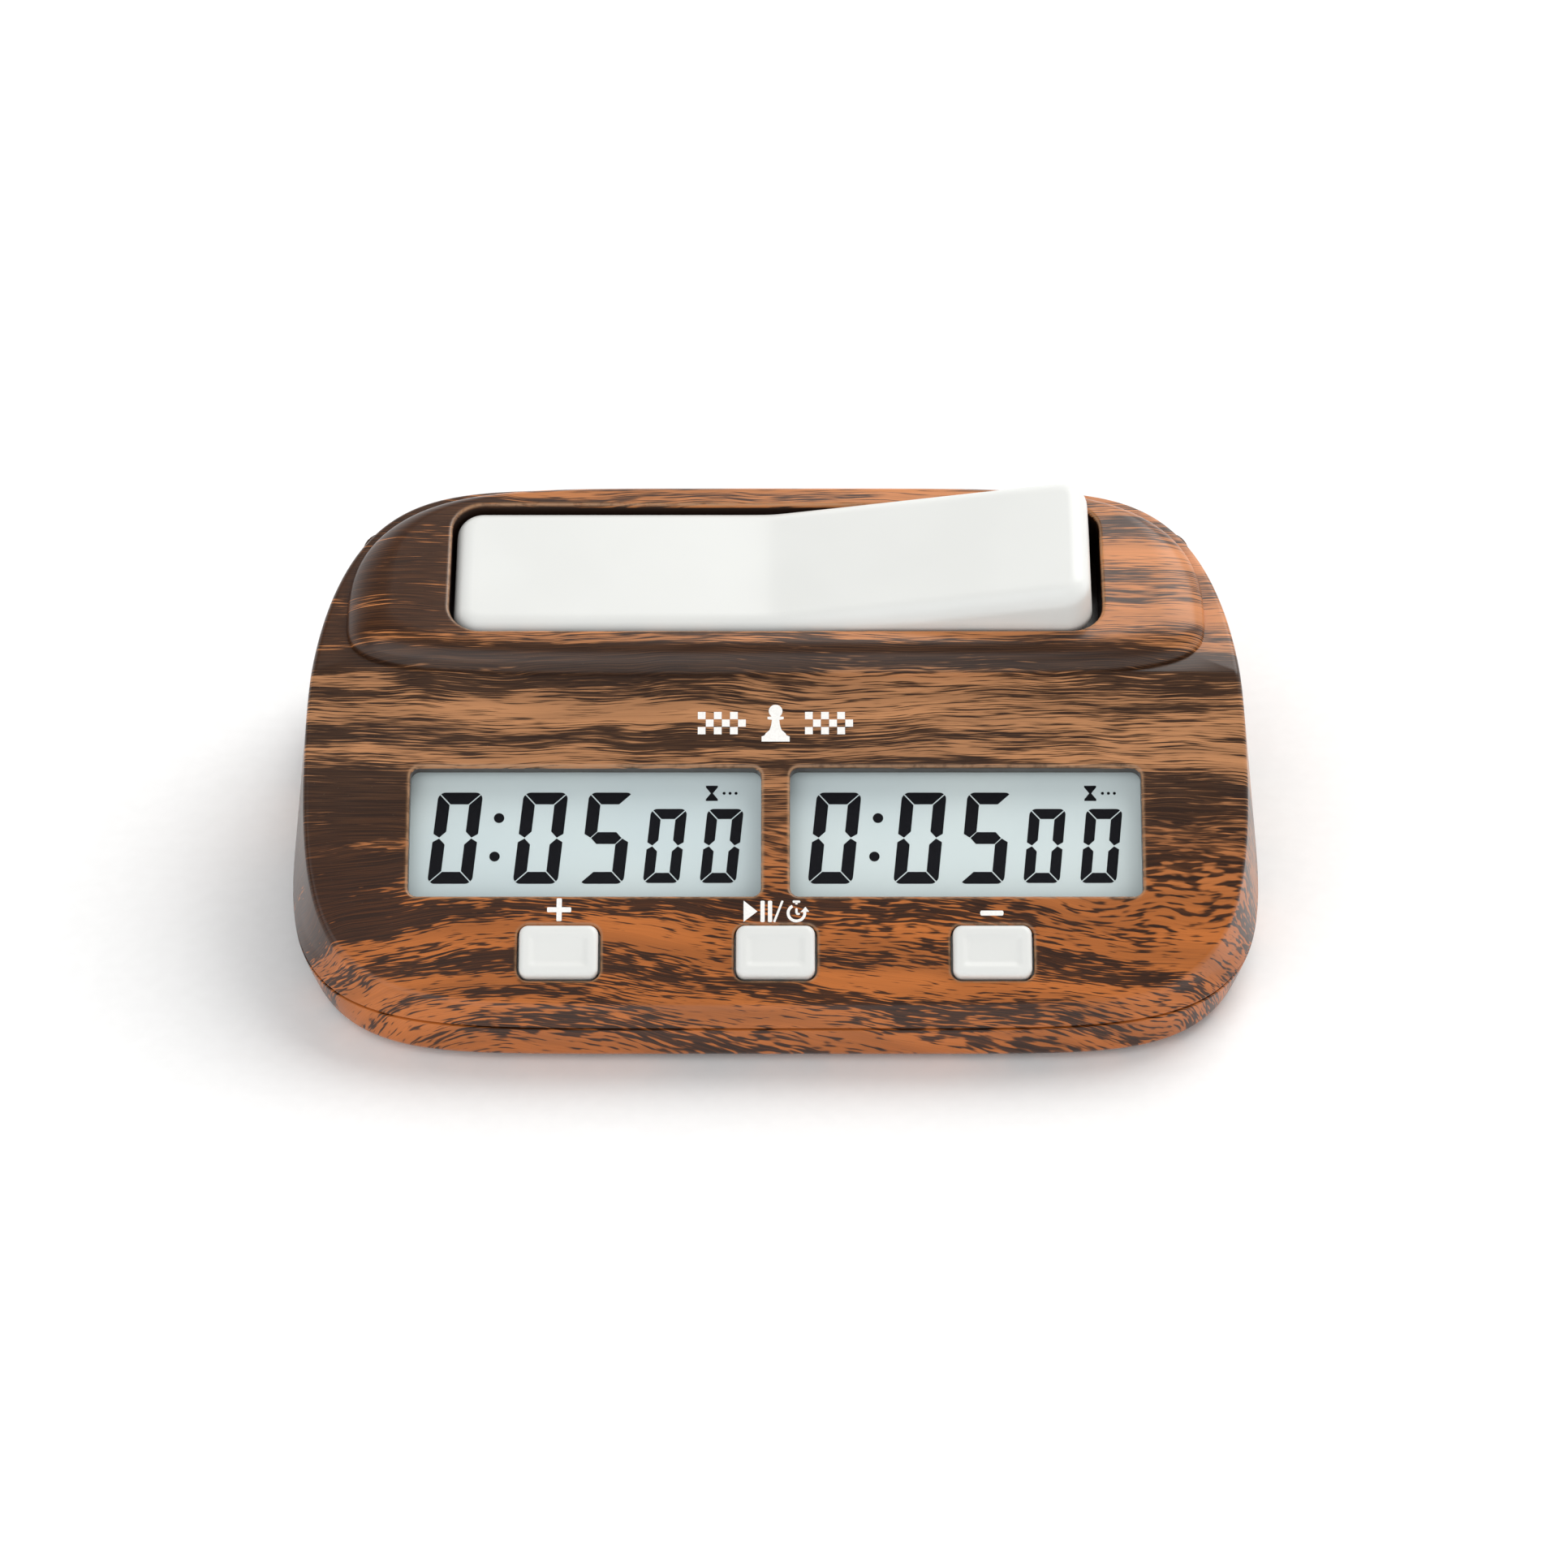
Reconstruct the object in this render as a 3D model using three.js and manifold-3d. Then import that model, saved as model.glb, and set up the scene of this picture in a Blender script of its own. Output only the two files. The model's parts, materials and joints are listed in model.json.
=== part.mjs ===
// Digital chess clock: a wood-printed plastic case, a white rocker on a steel pin, two liquid crystal displays,
// three push buttons, and the boards, switches, battery and fasteners inside.
//
// Millimetres. +Z is up, +X runs to the player's right, and the displays face -Y. The origin is on the table,
// under the middle of the case.

import * as THREE from 'three';
import { mergeVertices } from 'three/addons/utils/BufferGeometryUtils.js';
import Module from 'manifold-3d';

const wasm = await Module();
wasm.setup();

// -----------------------------------------------------------------------------------------------------------
// Driving dimensions
// -----------------------------------------------------------------------------------------------------------

const GAP = 0.3; // gap between neighbouring pieces
const CUT = 1; // how far a cutter runs past the face it opens
const SINK = 0.5; // how far a joined piece starts inside the one that carries it
const ROUND = 16; // sides of a small cylinder
const THREAD_ROUND = 12; // and of a screw's shank
const CELL_ROUND = 40;

// Case
const CASE_WIDTH = 139.6;
const CASE_DEPTH = 92;
const SPLIT_SIDE_POWER = 6; // at the split, the outline is |x/a|^side + |y/b|^end = 1
const SPLIT_END_POWER = 3.9;
const DECK_SIDE_POWER = 8; // at the deck, where the rear corners are rounder
const DECK_END_POWER = 1.85;
const FLOOR_SIDE_POWER = 8; // at the underside
const FLOOR_END_POWER = 2.6;
const PLAN_POINTS = 56;
const FLOOR_HEIGHT = 1; // underside of the case above the table
const FLOOR_EDGE = 1.5; // rounding of the case's bottom edge
const SPLIT_HEIGHT = 7.3; // top of the lower shell's wall
const UNDERCUT = 0.9; // how far the lower shell's wall runs in towards the underside
const WALL = 2.2;
const TONGUE_WIDTH = 0.8; // tongue on the lower shell that enters the upper shell
const TONGUE_HEIGHT = 1.5;
const SIDE_DRAFT = 0.12; // how far the side walls lean in for each millimetre of height
const REAR_DRAFT = 0.37;

// Sloping face with the displays, and the deck behind it that carries the rocker
const FACE_SLOPE = THREE.MathUtils.degToRad(28);
const FACE_HEIGHT = 10.4; // height of the face's front edge, over a cell of USUAL_CELL_RADIUS
const FACE_SETBACK = 1; // front edge of the face behind the front of the case
const FACE_LENGTH = 50.8; // along the slope, from the front edge to the crease
const DECK_SLOPE = THREE.MathUtils.degToRad(10);
const HUMP_FROM_SIDE = 8; // end of the raised pillow around the rocker, in from the side of the case
const HUMP_BEFORE_WELL = 6; // front edge of the pillow before the rocker's well
const HUMP_BEHIND_WELL = 4.4;
const HUMP_MIDDLE = 10.5; // widest place of the pillow, up the deck from the crease
const HUMP_HEIGHT = 3;
const HUMP_SHOULDER = [[0.45, 0.4], [0.8, 1.4], [1, 4]]; // share of the height, how far in it is there
const HUMP_ROOT = 1.5; // the pillow starts this share of its height under the deck
const HUMP_SIDE_POWER = 5.5;
const HUMP_FRONT_POWER = 4;
const HUMP_REAR_POWER = 2.4;

// Rocker
const ROCKER_LENGTH = 91.8;
const ROCKER_WIDTH = 22.9;
const ROCKER_CENTRE = 17.1; // middle of the rocker, up the deck from the crease
const ROCKER_CORNER = 4;
const ROCKER_END_HEIGHT = 8.8;
const ROCKER_SKIN = 1.8;
const ROCKER_SWING = 9.5; // whole swing from one side to the other, in degrees
const ROCKER_WEB = 2.4; // wall between the rocker's top and its hub
const PIVOT_DEPTH = 4; // pivot pin below the deck plane
const HUB_RADIUS = 2.2;
const PIN_RADIUS = 1;
const PIN_HEAD_RADIUS = 1.5;
const PIN_HEAD = 0.6; // thickness of the pin's head
const PIN_TAIL = 1.6; // pin behind the well, for the clip
const CLIP_RADIUS = 1.6;
const PIN_END_ROOM = 0.1; // least room between the case and the pin's head or clip
const CLIP_BORE = 1.15;
const CLIP_SLOT = 1.4;
const CLIP_THICKNESS = 0.6;
const WELL_MARGIN = 1.1; // rocker to well at the ends
const WELL_SIDE_MARGIN = 0.35;
const WELL_CORNER = 4.6;
const WELL_FLOOR_DEPTH = 6.8;
const WELL_WALL = 1.8;
const NUB_OFFSET = 12; // rocker's feet that press the turn switches, from the pivot
const NUB_SIZE = 3;
const NUB_DROP = 5.4; // foot below the pivot

// Displays
const WINDOW_WIDTH = 49.9;
const WINDOW_HEIGHT = 19.3;
const WINDOW_CORNER = 1.3;
const WINDOW_UP = 26.55; // middle of the windows, up the face
const MULLION = 4.1; // wall between the two windows
const GLASS_MARGIN = 1; // lens and display past the window on each side
const LENS_THICKNESS = 0.8;
const LCD_THICKNESS = 1.8;
const FRAME_WALL = 1.6;
const ZEBRA_WIDTH = 2;
const ZEBRA_HEIGHT = 1.6;
const ZEBRA_SHORT = 2; // strip shorter than the glass at each end
const LENS_CORNER = 1;
const FRAME_CORNER = 1.5;

// Push buttons
const BUTTON_WIDTH = 11.1;
const BUTTON_HEIGHT = 7.6;
const BUTTON_CORNER = 1.3;
const BUTTON_SPACING = 30.5;
const BUTTON_UP = 8.45; // middle of the buttons, up the face
const BUTTON_PROUD = 1.2;
const BUTTON_TRAVEL = 0.8;
const BUTTON_FLANGE = 0.9; // thickness of the flange under the face, and its width
const FLANGE_CORNER = 1.8;
const STEM_RADIUS = 1.5;
const STEM_LENGTH = 0.4; // stem under the flange

// Boards and small parts
const BOARD_THICKNESS = 1.6;
const BOARD_SHORT = 1.95; // main board inside the outer edges of the displays' glass, at each end
const BOARD_BOTTOM = 4; // up the face
const BOARD_TOP = 44;
const BOARD_SCREW_EDGE = 1; // screw boss to the edge of the main board
const TURN_SCREW_EDGE = 0.6;
const TURN_BOARD_LENGTH = 48;
const TURN_BOARD_WIDTH = 18;
const SWITCH_SIZE = 6;
const SWITCH_HEIGHT = 3.3;
const SWITCH_FLOOR = 0.3;
const PLUNGER_RADIUS = 1.6;
const TACT_HEIGHT = 2.3;
const TACT_REST = 0.15; // left under a tact plunger at the end of the button's travel
const SMALL_SCREW_RADIUS = 0.9;
const SMALL_HEAD_RADIUS = 1.9;
const SMALL_HEAD_HEIGHT = 1.3;
const SMALL_BOSS_RADIUS = 2.4;
const SMALL_SCREW_LENGTH = 5.5;
const CHIP = { size: 12, thickness: 1.5, up: 26 };
const CRYSTAL = { radius: 1.5, length: 8, across: -1, up: 36 };
const BUZZER = { radius: 7, thickness: 4, across: 34, up: 26 };

// Battery compartment
const CELL_RADIUS = 7.25;
const USUAL_CELL_RADIUS = 7.25; // the cell that FACE_HEIGHT leaves room for
const CELL_LENGTH = 49.5;
const CELL_Y = 19;
const CELL_EDGE = 0.4;
const CELL_NUB = { radius: 2.6, length: 1 };
const SPRING_LENGTH = 3.4;
const SPRING = { turns: 3, wide: 4.4, narrow: 2.4, wire: 0.35, steps: 8 };
const CONTACT_THICKNESS = 0.5;
const CONTACT_SIZE = 11;
const CONTACT_ROOM = 0.6; // contact plate to spring, and spring to cell
const COMPARTMENT_WALL = 1.6;
const BAY_END_ROOM = 1.6; // bay past the cell and its spring at each end
const BAY_SIDE_ROOM = 0.6;
const BAY_RISE = 2; // top of the bay's wall over the cell's middle
const DOOR_MARGIN = 3.2; // door past the compartment's opening
const DOOR_THICKNESS = 1;
const DOOR_CORNER = 0.3;
const DOOR_RIB = { width: 2, across: 16, front: 1, rear: 3 }; // front and rear are in from the bay's walls

// Fastening and feet
const CASE_SCREW_RADIUS = 1.2;
const CASE_HEAD_RADIUS = 2.5;
const CASE_HEAD_HEIGHT = 1.6;
const CASE_SCREW_LENGTH = 8;
const CASE_BOSS_RADIUS = 3.2;
const CASE_SCREW_ROOM = 2; // underside of the case to the screw's head
const LOWER_POST_RADIUS = 3.8;
const CROSS = { reach: 1.4, half: 0.3, depth: 0.8 }; // cross recess in a screw's head
const RIB = 1.6; // ribs from the screw bosses to the side walls
const FRONT_SCREWS = { side: 14.3, end: 11 }; // in from the side and the end of the case
const REAR_SCREWS = { side: 12.8, end: 22 };
const FOOT_RADIUS = 4.5;
const FOOT_THICKNESS = 1.7;
const FRONT_FEET = { side: 25.8, end: 11 };
const REAR_FEET = { side: 25.8, end: 10 };

// Power switch, on the underside
const POWER_X = 44;
const POWER_Y = 6;
const POWER_TRAVEL = 2;
const POWER_BODY = { length: 8.6, width: 4, top: 3.8, slotTop: 2.4 }; // heights over the lower shell's floor
const KNOB = { length: 3, width: 2.4, top: 2 };
const KNOB_SLOT_CORNER = 0.5;

// Leads and the flat cable between the boards
const LEAD_RADIUS = 0.6;
const LEAD_STEPS = 30;
const LEAD_RISE = 9; // highest place of a lead over the cell's middle
const LEAD_START = 6.4;
const LEAD_LANDING = { up: 6, under: 1.2, across: 7 }; // end of a lead, from the top edge of the main board
const LEAD_BACK = 2; // a lead runs this far forward while it rises over the bay, then LEAD_RUN on
const LEAD_RUN = 10;
const LEAD_SWAY = 5;
const LEAD_SAG = 3;
const RIBBON = { half: 6, thickness: 0.4, steps: 16, under: 0.5, sag: 2.5, lean: 1.5 };
const RIBBON_ENDS = { turn: 1.5, main: 2.5 }; // in from the edges of the two boards

// -----------------------------------------------------------------------------------------------------------
// Values that follow from them
// -----------------------------------------------------------------------------------------------------------

const halfWidth = CASE_WIDTH / 2;
const halfDepth = CASE_DEPTH / 2;
const floorTop = FLOOR_HEIGHT + WALL;
const upperBottom = SPLIT_HEIGHT + GAP;
const postTop = SPLIT_HEIGHT + TONGUE_HEIGHT; // screw posts are as tall as the tongue
const screwSeat = FLOOR_HEIGHT + CASE_SCREW_ROOM + CASE_HEAD_HEIGHT;
const faceStartY = -halfDepth + FACE_SETBACK;
const faceHeight = FACE_HEIGHT + 2 * (CELL_RADIUS - USUAL_CELL_RADIUS); // a thicker cell lifts the whole face
const creaseY = faceStartY + FACE_LENGTH * Math.cos(FACE_SLOPE);
const creaseZ = faceHeight + FACE_LENGTH * Math.sin(FACE_SLOPE);

const lensTop = -WALL - GAP;
const lcdTop = lensTop - LENS_THICKNESS - GAP;
const lcdBottom = lcdTop - LCD_THICKNESS;
const boardTop = lcdBottom - GAP - ZEBRA_HEIGHT - GAP;
const boardBottom = boardTop - BOARD_THICKNESS;
const windowCentre = (WINDOW_WIDTH + MULLION) / 2;
const glassWidth = WINDOW_WIDTH + 2 * GLASS_MARGIN;
const glassHeight = WINDOW_HEIGHT + 2 * GLASS_MARGIN;
const boardHalfWidth = windowCentre + glassWidth / 2 - BOARD_SHORT;

const halfSwing = THREE.MathUtils.degToRad(ROCKER_SWING / 2);
const pivotHeight = -PIVOT_DEPTH;
const rockerTop = HUMP_HEIGHT + PIVOT_DEPTH; // top of the rocker over the pivot
const wellHalfLength = ROCKER_LENGTH / 2 + WELL_MARGIN;
const wellHalfWidth = ROCKER_WIDTH / 2 + WELL_SIDE_MARGIN;
const humpHalfLength = halfWidth - HUMP_FROM_SIDE;
const humpFront = HUMP_MIDDLE - (ROCKER_CENTRE - wellHalfWidth - HUMP_BEFORE_WELL);
const humpRear = ROCKER_CENTRE + wellHalfWidth + HUMP_BEHIND_WELL - HUMP_MIDDLE;
const wellFloor = -WELL_FLOOR_DEPTH;
const wellUnderside = wellFloor - WELL_WALL;
const wellFront = ROCKER_CENTRE - wellHalfWidth - WELL_WALL;
const wellRear = ROCKER_CENTRE + wellHalfWidth + WELL_WALL;
const plungerTravel = 2 * NUB_OFFSET * Math.sin(halfSwing);
const nubPressed = pivotHeight - NUB_DROP * Math.cos(halfSwing) - NUB_OFFSET * Math.sin(halfSwing);
const plungerPressedTop = nubPressed - GAP;
const switchTop = plungerPressedTop - GAP;
const switchBottom = switchTop - SWITCH_HEIGHT;
const turnBoardTop = switchBottom - GAP;
const turnBoardBottom = turnBoardTop - BOARD_THICKNESS;

const cellZ = floorTop + GAP + CELL_RADIUS;
const bayHalfLength = (CELL_LENGTH + SPRING_LENGTH) / 2 + BAY_END_ROOM;
const bayHalfWidth = CELL_RADIUS + BAY_SIDE_ROOM;

/** Four places, in from the sides and the ends of the case. */
function fourPlaces(front, rear) {
  return {
    front_left: [front.side - halfWidth, front.end - halfDepth],
    front_right: [halfWidth - front.side, front.end - halfDepth],
    rear_left: [rear.side - halfWidth, halfDepth - rear.end],
    rear_right: [halfWidth - rear.side, halfDepth - rear.end],
  };
}

const caseScrews = fourPlaces(FRONT_SCREWS, REAR_SCREWS);
const feet = fourPlaces(FRONT_FEET, REAR_FEET);

// -----------------------------------------------------------------------------------------------------------
// Shapes and booleans
// -----------------------------------------------------------------------------------------------------------

/** A closed three.js geometry as a solid that can be joined and cut. */
function solid(geometry) {
  const bare = geometry.clone();
  for (const name of Object.keys(bare.attributes)) {
    if (name !== 'position') bare.deleteAttribute(name);
  }
  const merged = mergeVertices(bare, 1e-5);
  return new wasm.Manifold(new wasm.Mesh({
    numProp: 3,
    vertProperties: new Float32Array(merged.attributes.position.array),
    triVerts: new Uint32Array(merged.index.array),
  }));
}

/** A solid as a three.js geometry. */
function geometryOf(body) {
  const mesh = body.getMesh();
  const geometry = new THREE.BufferGeometry();
  geometry.setAttribute('position', new THREE.BufferAttribute(new Float32Array(mesh.vertProperties), 3));
  geometry.setIndex(new THREE.BufferAttribute(new Uint32Array(mesh.triVerts), 1));
  geometry.computeVertexNormals();
  return geometry;
}

const join = (...bodies) => bodies.reduce((whole, body) => whole.add(body));
const cut = (body, ...cutters) => cutters.reduce((rest, cutter) => rest.subtract(cutter), body);

/** Box between two corners. */
function box([x0, y0, z0], [x1, y1, z1]) {
  return new THREE.BoxGeometry(x1 - x0, y1 - y0, z1 - z0)
    .translate((x0 + x1) / 2, (y0 + y1) / 2, (z0 + z1) / 2);
}

/** Upright cylinder from z0 to z1. */
function post(radius, x, y, z0, z1, sides = ROUND) {
  return new THREE.CylinderGeometry(radius, radius, z1 - z0, sides)
    .rotateX(Math.PI / 2)
    .translate(x, y, (z0 + z1) / 2);
}

/** Cylinder along Y from y0 to y1. */
function rodAlongY(radius, x, z, y0, y1, sides = ROUND) {
  return new THREE.CylinderGeometry(radius, radius, y1 - y0, sides).translate(x, (y0 + y1) / 2, z);
}

/** Cylinder along X from x0 to x1. */
function rodAlongX(radius, y, z, x0, x1, sides = ROUND) {
  return new THREE.CylinderGeometry(radius, radius, x1 - x0, sides)
    .rotateZ(Math.PI / 2)
    .translate((x0 + x1) / 2, y, z);
}

/** Plate with rounded corners, from z0 to z1. */
function plate(width, height, corner, x, y, z0, z1) {
  const w = width / 2;
  const h = height / 2;
  const shape = new THREE.Shape()
    .moveTo(-w + corner, -h)
    .lineTo(w - corner, -h)
    .absarc(w - corner, -h + corner, corner, -Math.PI / 2, 0)
    .lineTo(w, h - corner)
    .absarc(w - corner, h - corner, corner, 0, Math.PI / 2)
    .lineTo(-w + corner, h)
    .absarc(-w + corner, h - corner, corner, Math.PI / 2, Math.PI)
    .lineTo(-w, -h + corner)
    .absarc(-w + corner, -h + corner, corner, Math.PI, Math.PI * 1.5);
  return new THREE.ExtrudeGeometry(shape, { depth: z1 - z0, bevelEnabled: false, curveSegments: 3 })
    .translate(x, y, z0);
}

/** Outline in the Y-Z plane carried along X over a length. */
function alongX(points, length) {
  const shape = new THREE.Shape(points.map(([y, z]) => new THREE.Vector2(y, z)));
  return new THREE.ExtrudeGeometry(shape, { depth: length, bevelEnabled: false })
    .translate(0, 0, -length / 2)
    .applyMatrix4(new THREE.Matrix4().makeBasis(
      new THREE.Vector3(0, 1, 0), new THREE.Vector3(0, 0, 1), new THREE.Vector3(1, 0, 0)));
}

/** Outline in the X-Z plane carried along Y over a length. */
function alongY(points, length) {
  const shape = new THREE.Shape(points.map(([x, z]) => new THREE.Vector2(x, z)));
  return new THREE.ExtrudeGeometry(shape, { depth: length, bevelEnabled: false })
    .rotateX(Math.PI / 2)
    .translate(0, length / 2, 0);
}

/**
 * Solid through a stack of oval rings. A ring is |x/a|^side + |y/b|^end = 1 about its middle y at a height z, where
 * b and end are front and frontPower on the -Y side, and rear and rearPower on the +Y side.
 */
function loft(rings) {
  const positions = [];
  for (const { a, front, rear, sidePower, frontPower, rearPower, y, z } of rings) {
    for (let i = 0; i < PLAN_POINTS; i += 1) {
      const angle = (i / PLAN_POINTS) * 2 * Math.PI;
      const cos = Math.cos(angle);
      const sin = Math.sin(angle);
      const reach = sin > 0 ? rear : front;
      const power = sin > 0 ? rearPower : frontPower;
      positions.push(a * Math.sign(cos) * Math.abs(cos) ** (2 / sidePower));
      positions.push(y + reach * Math.sign(sin) * Math.abs(sin) ** (2 / power), z);
    }
  }
  const last = rings.length - 1;
  positions.push(0, rings[0].y, rings[0].z, 0, rings[last].y, rings[last].z);
  const bottom = rings.length * PLAN_POINTS;
  const top = bottom + 1;
  const faces = [];
  for (let i = 0; i < PLAN_POINTS; i += 1) {
    const next = (i + 1) % PLAN_POINTS;
    faces.push(bottom, next, i);
    faces.push(top, last * PLAN_POINTS + i, last * PLAN_POINTS + next);
    for (let ring = 0; ring < last; ring += 1) {
      const low = ring * PLAN_POINTS;
      const high = low + PLAN_POINTS;
      faces.push(low + i, low + next, high + next, low + i, high + next, high + i);
    }
  }
  const geometry = new THREE.BufferGeometry();
  geometry.setAttribute('position', new THREE.Float32BufferAttribute(positions, 3));
  geometry.setIndex(faces);
  return geometry;
}

/** Round tube along a smooth curve through points, closed at both ends. */
function tube(points, radius, steps) {
  const path = new THREE.CatmullRomCurve3(points.map((point) => new THREE.Vector3(...point)));
  const section = new THREE.Shape().absarc(0, 0, radius, 0, 2 * Math.PI);
  return new THREE.ExtrudeGeometry(section, { extrudePath: path, steps, curveSegments: 4 });
}

// Frames: the face frame has x across, y up the slope and z out of the face; the deck frame starts at the crease.
const faceFrame = new THREE.Matrix4()
  .makeRotationX(FACE_SLOPE)
  .setPosition(0, faceStartY, faceHeight);
const deckFrame = new THREE.Matrix4()
  .makeRotationX(DECK_SLOPE)
  .setPosition(0, creaseY, creaseZ);

const onFace = (geometry) => geometry.applyMatrix4(faceFrame);
const onDeck = (geometry) => geometry.applyMatrix4(deckFrame);

// -----------------------------------------------------------------------------------------------------------
// The assembly
// -----------------------------------------------------------------------------------------------------------

const clock = new THREE.Group();
const facePlate = new THREE.Group();
facePlate.applyMatrix4(faceFrame);
const deck = new THREE.Group();
deck.applyMatrix4(deckFrame);
clock.add(facePlate, deck);

const finish = {
  woodPrint: { color: 0x8a5636, roughness: 0.42, metalness: 0 },
  whitePlastic: { color: 0xecece8, roughness: 0.45, metalness: 0 },
  blackPlastic: { color: 0x242426, roughness: 0.6, metalness: 0 },
  displayGlass: { color: 0xc8d8d8, roughness: 0.2, metalness: 0 },
  clearLens: { color: 0xe8f2f2, roughness: 0.05, metalness: 0 },
  board: { color: 0x1f6b3a, roughness: 0.5, metalness: 0 },
  steel: { color: 0xb9bcc0, roughness: 0.3, metalness: 1 },
  rubber: { color: 0x1c1c1d, roughness: 0.85, metalness: 0 },
  cellSleeve: { color: 0x3b5f8f, roughness: 0.35, metalness: 0.2 },
  redLead: { color: 0xb3201c, roughness: 0.5, metalness: 0 },
  blackLead: { color: 0x1a1a1a, roughness: 0.5, metalness: 0 },
};

/** Adds one named piece to a group. */
function piece(group, name, shape, look) {
  const geometry = shape instanceof THREE.BufferGeometry ? shape : geometryOf(shape);
  const mesh = new THREE.Mesh(geometry, new THREE.MeshStandardMaterial(look));
  mesh.name = name;
  group.add(mesh);
  return mesh;
}

// -----------------------------------------------------------------------------------------------------------
// Case
// -----------------------------------------------------------------------------------------------------------

/** Ring of the case's outline at a height, moved in by an inset. */
function caseRing(z, inset) {
  const rise = Math.max(0, z - upperBottom);
  const up = THREE.MathUtils.clamp(rise / (creaseZ - upperBottom), 0, 1);
  const down = THREE.MathUtils.clamp((SPLIT_HEIGHT - z) / (SPLIT_HEIGHT - FLOOR_HEIGHT), 0, 1);
  const draw = inset + down * UNDERCUT;
  const rear = halfDepth - REAR_DRAFT * rise - draw;
  const front = halfDepth - FACE_SETBACK * Math.min(1, rise / (faceHeight - upperBottom)) - draw;
  const blend = (split, deckEnd, floorEnd) => split + up * (deckEnd - split) + down * (floorEnd - split);
  const endPower = blend(SPLIT_END_POWER, DECK_END_POWER, FLOOR_END_POWER);
  return {
    a: halfWidth - SIDE_DRAFT * rise - draw,
    front: (rear + front) / 2,
    rear: (rear + front) / 2,
    sidePower: blend(SPLIT_SIDE_POWER, DECK_SIDE_POWER, FLOOR_SIDE_POWER),
    frontPower: endPower,
    rearPower: endPower,
    y: (rear - front) / 2,
    z,
  };
}

/** The upper half of the case as a full volume: leaning walls under the sloping face and the deck. */
function caseVolume(inset, bottom) {
  const top = creaseZ + CASE_DEPTH / 2 * Math.tan(DECK_SLOPE);
  const share = (part) => faceHeight + part * (creaseZ - faceHeight);
  const levels = inset > 0 ? [bottom, share(0.5), top] : [bottom, faceHeight, share(0.5), creaseZ, top];
  const walls = solid(loft(levels.map((z) => caseRing(z, inset))));
  const faceDrop = inset / Math.cos(FACE_SLOPE);
  const deckDrop = inset / Math.cos(DECK_SLOPE);
  const faceAt = (y) => faceHeight - faceDrop + (y - faceStartY) * Math.tan(FACE_SLOPE);
  const deckAt = (y) => creaseZ - deckDrop + (y - creaseY) * Math.tan(DECK_SLOPE);
  const meet = creaseY + (faceDrop - deckDrop) / (Math.tan(FACE_SLOPE) - Math.tan(DECK_SLOPE));
  const roof = [[-CASE_DEPTH, faceAt(-CASE_DEPTH)], [-CASE_DEPTH, -CASE_DEPTH], [CASE_DEPTH, -CASE_DEPTH],
    [CASE_DEPTH, deckAt(CASE_DEPTH)], [meet, faceAt(meet)]];
  return walls.intersect(solid(alongX(roof, 2 * CASE_WIDTH)));
}

/** The pillow around the rocker, rising from below the deck with a rounded shoulder. */
function humpVolume(inset) {
  const shoulder = inset > 0 ? HUMP_SHOULDER.slice(-1) : HUMP_SHOULDER;
  const rings = [[-HUMP_ROOT, 0], [0, 0], ...shoulder].map(([share, draw]) => ({
    a: humpHalfLength - draw - inset,
    front: humpFront - draw - inset,
    rear: humpRear - draw - inset,
    sidePower: HUMP_SIDE_POWER,
    frontPower: HUMP_FRONT_POWER,
    rearPower: HUMP_REAR_POWER,
    y: HUMP_MIDDLE,
    z: HUMP_HEIGHT * share - inset,
  }));
  return solid(onDeck(loft(rings)));
}

/** Hole right through the face for one window or button. */
function faceHole(width, height, corner, x, y) {
  return solid(onFace(plate(width, height, corner, x, y, -2 * WALL, CUT)));
}

/** Bosses inside the upper shell that the screws enter, with ribs out to the side walls. */
function upperBosses() {
  const bodies = [];
  for (const [x, y] of Object.values(caseScrews)) {
    const top = y < 0 ? creaseZ : faceHeight + 2 * CASE_SCREW_LENGTH;
    bodies.push(solid(post(CASE_BOSS_RADIUS, x, y, postTop + GAP, top)));
    const reach = [x, Math.sign(x) * halfWidth].sort((p, q) => p - q);
    bodies.push(solid(box([reach[0], y - RIB / 2, postTop + 3 * GAP], [reach[1], y + RIB / 2, top])));
  }
  for (const [x, y] of boardScrewPlaces()) {
    bodies.push(solid(onFace(post(SMALL_BOSS_RADIUS, x, y, boardTop + GAP, 0))));
  }
  for (const x of turnScrewPlaces()) {
    bodies.push(solid(onDeck(post(SMALL_BOSS_RADIUS, x, ROCKER_CENTRE, turnBoardTop + GAP, wellFloor))));
  }
  return join(...bodies);
}

/** Places of the four screws that hold the main board and the display frame. */
function boardScrewPlaces() {
  const low = WINDOW_UP - glassHeight / 2 - FRAME_WALL - SMALL_BOSS_RADIUS - 2 * GAP;
  const high = WINDOW_UP + glassHeight / 2 + FRAME_WALL + SMALL_BOSS_RADIUS + 2 * GAP;
  const across = boardHalfWidth - SMALL_BOSS_RADIUS - BOARD_SCREW_EDGE;
  return [[-across, low], [across, low], [-across, high], [across, high]];
}

/** Places across the deck of the two screws that hold the turn board. */
function turnScrewPlaces() {
  const across = TURN_BOARD_LENGTH / 2 - SMALL_BOSS_RADIUS - TURN_SCREW_EDGE;
  return [-across, across];
}

/** Walls and floor of the well that the rocker swings in. */
function wellBlock() {
  return solid(onDeck(plate(2 * (wellHalfLength + WELL_WALL), 2 * (wellHalfWidth + WELL_WALL),
    WELL_CORNER + WELL_WALL, 0, ROCKER_CENTRE, wellUnderside, 0)));
}

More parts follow.
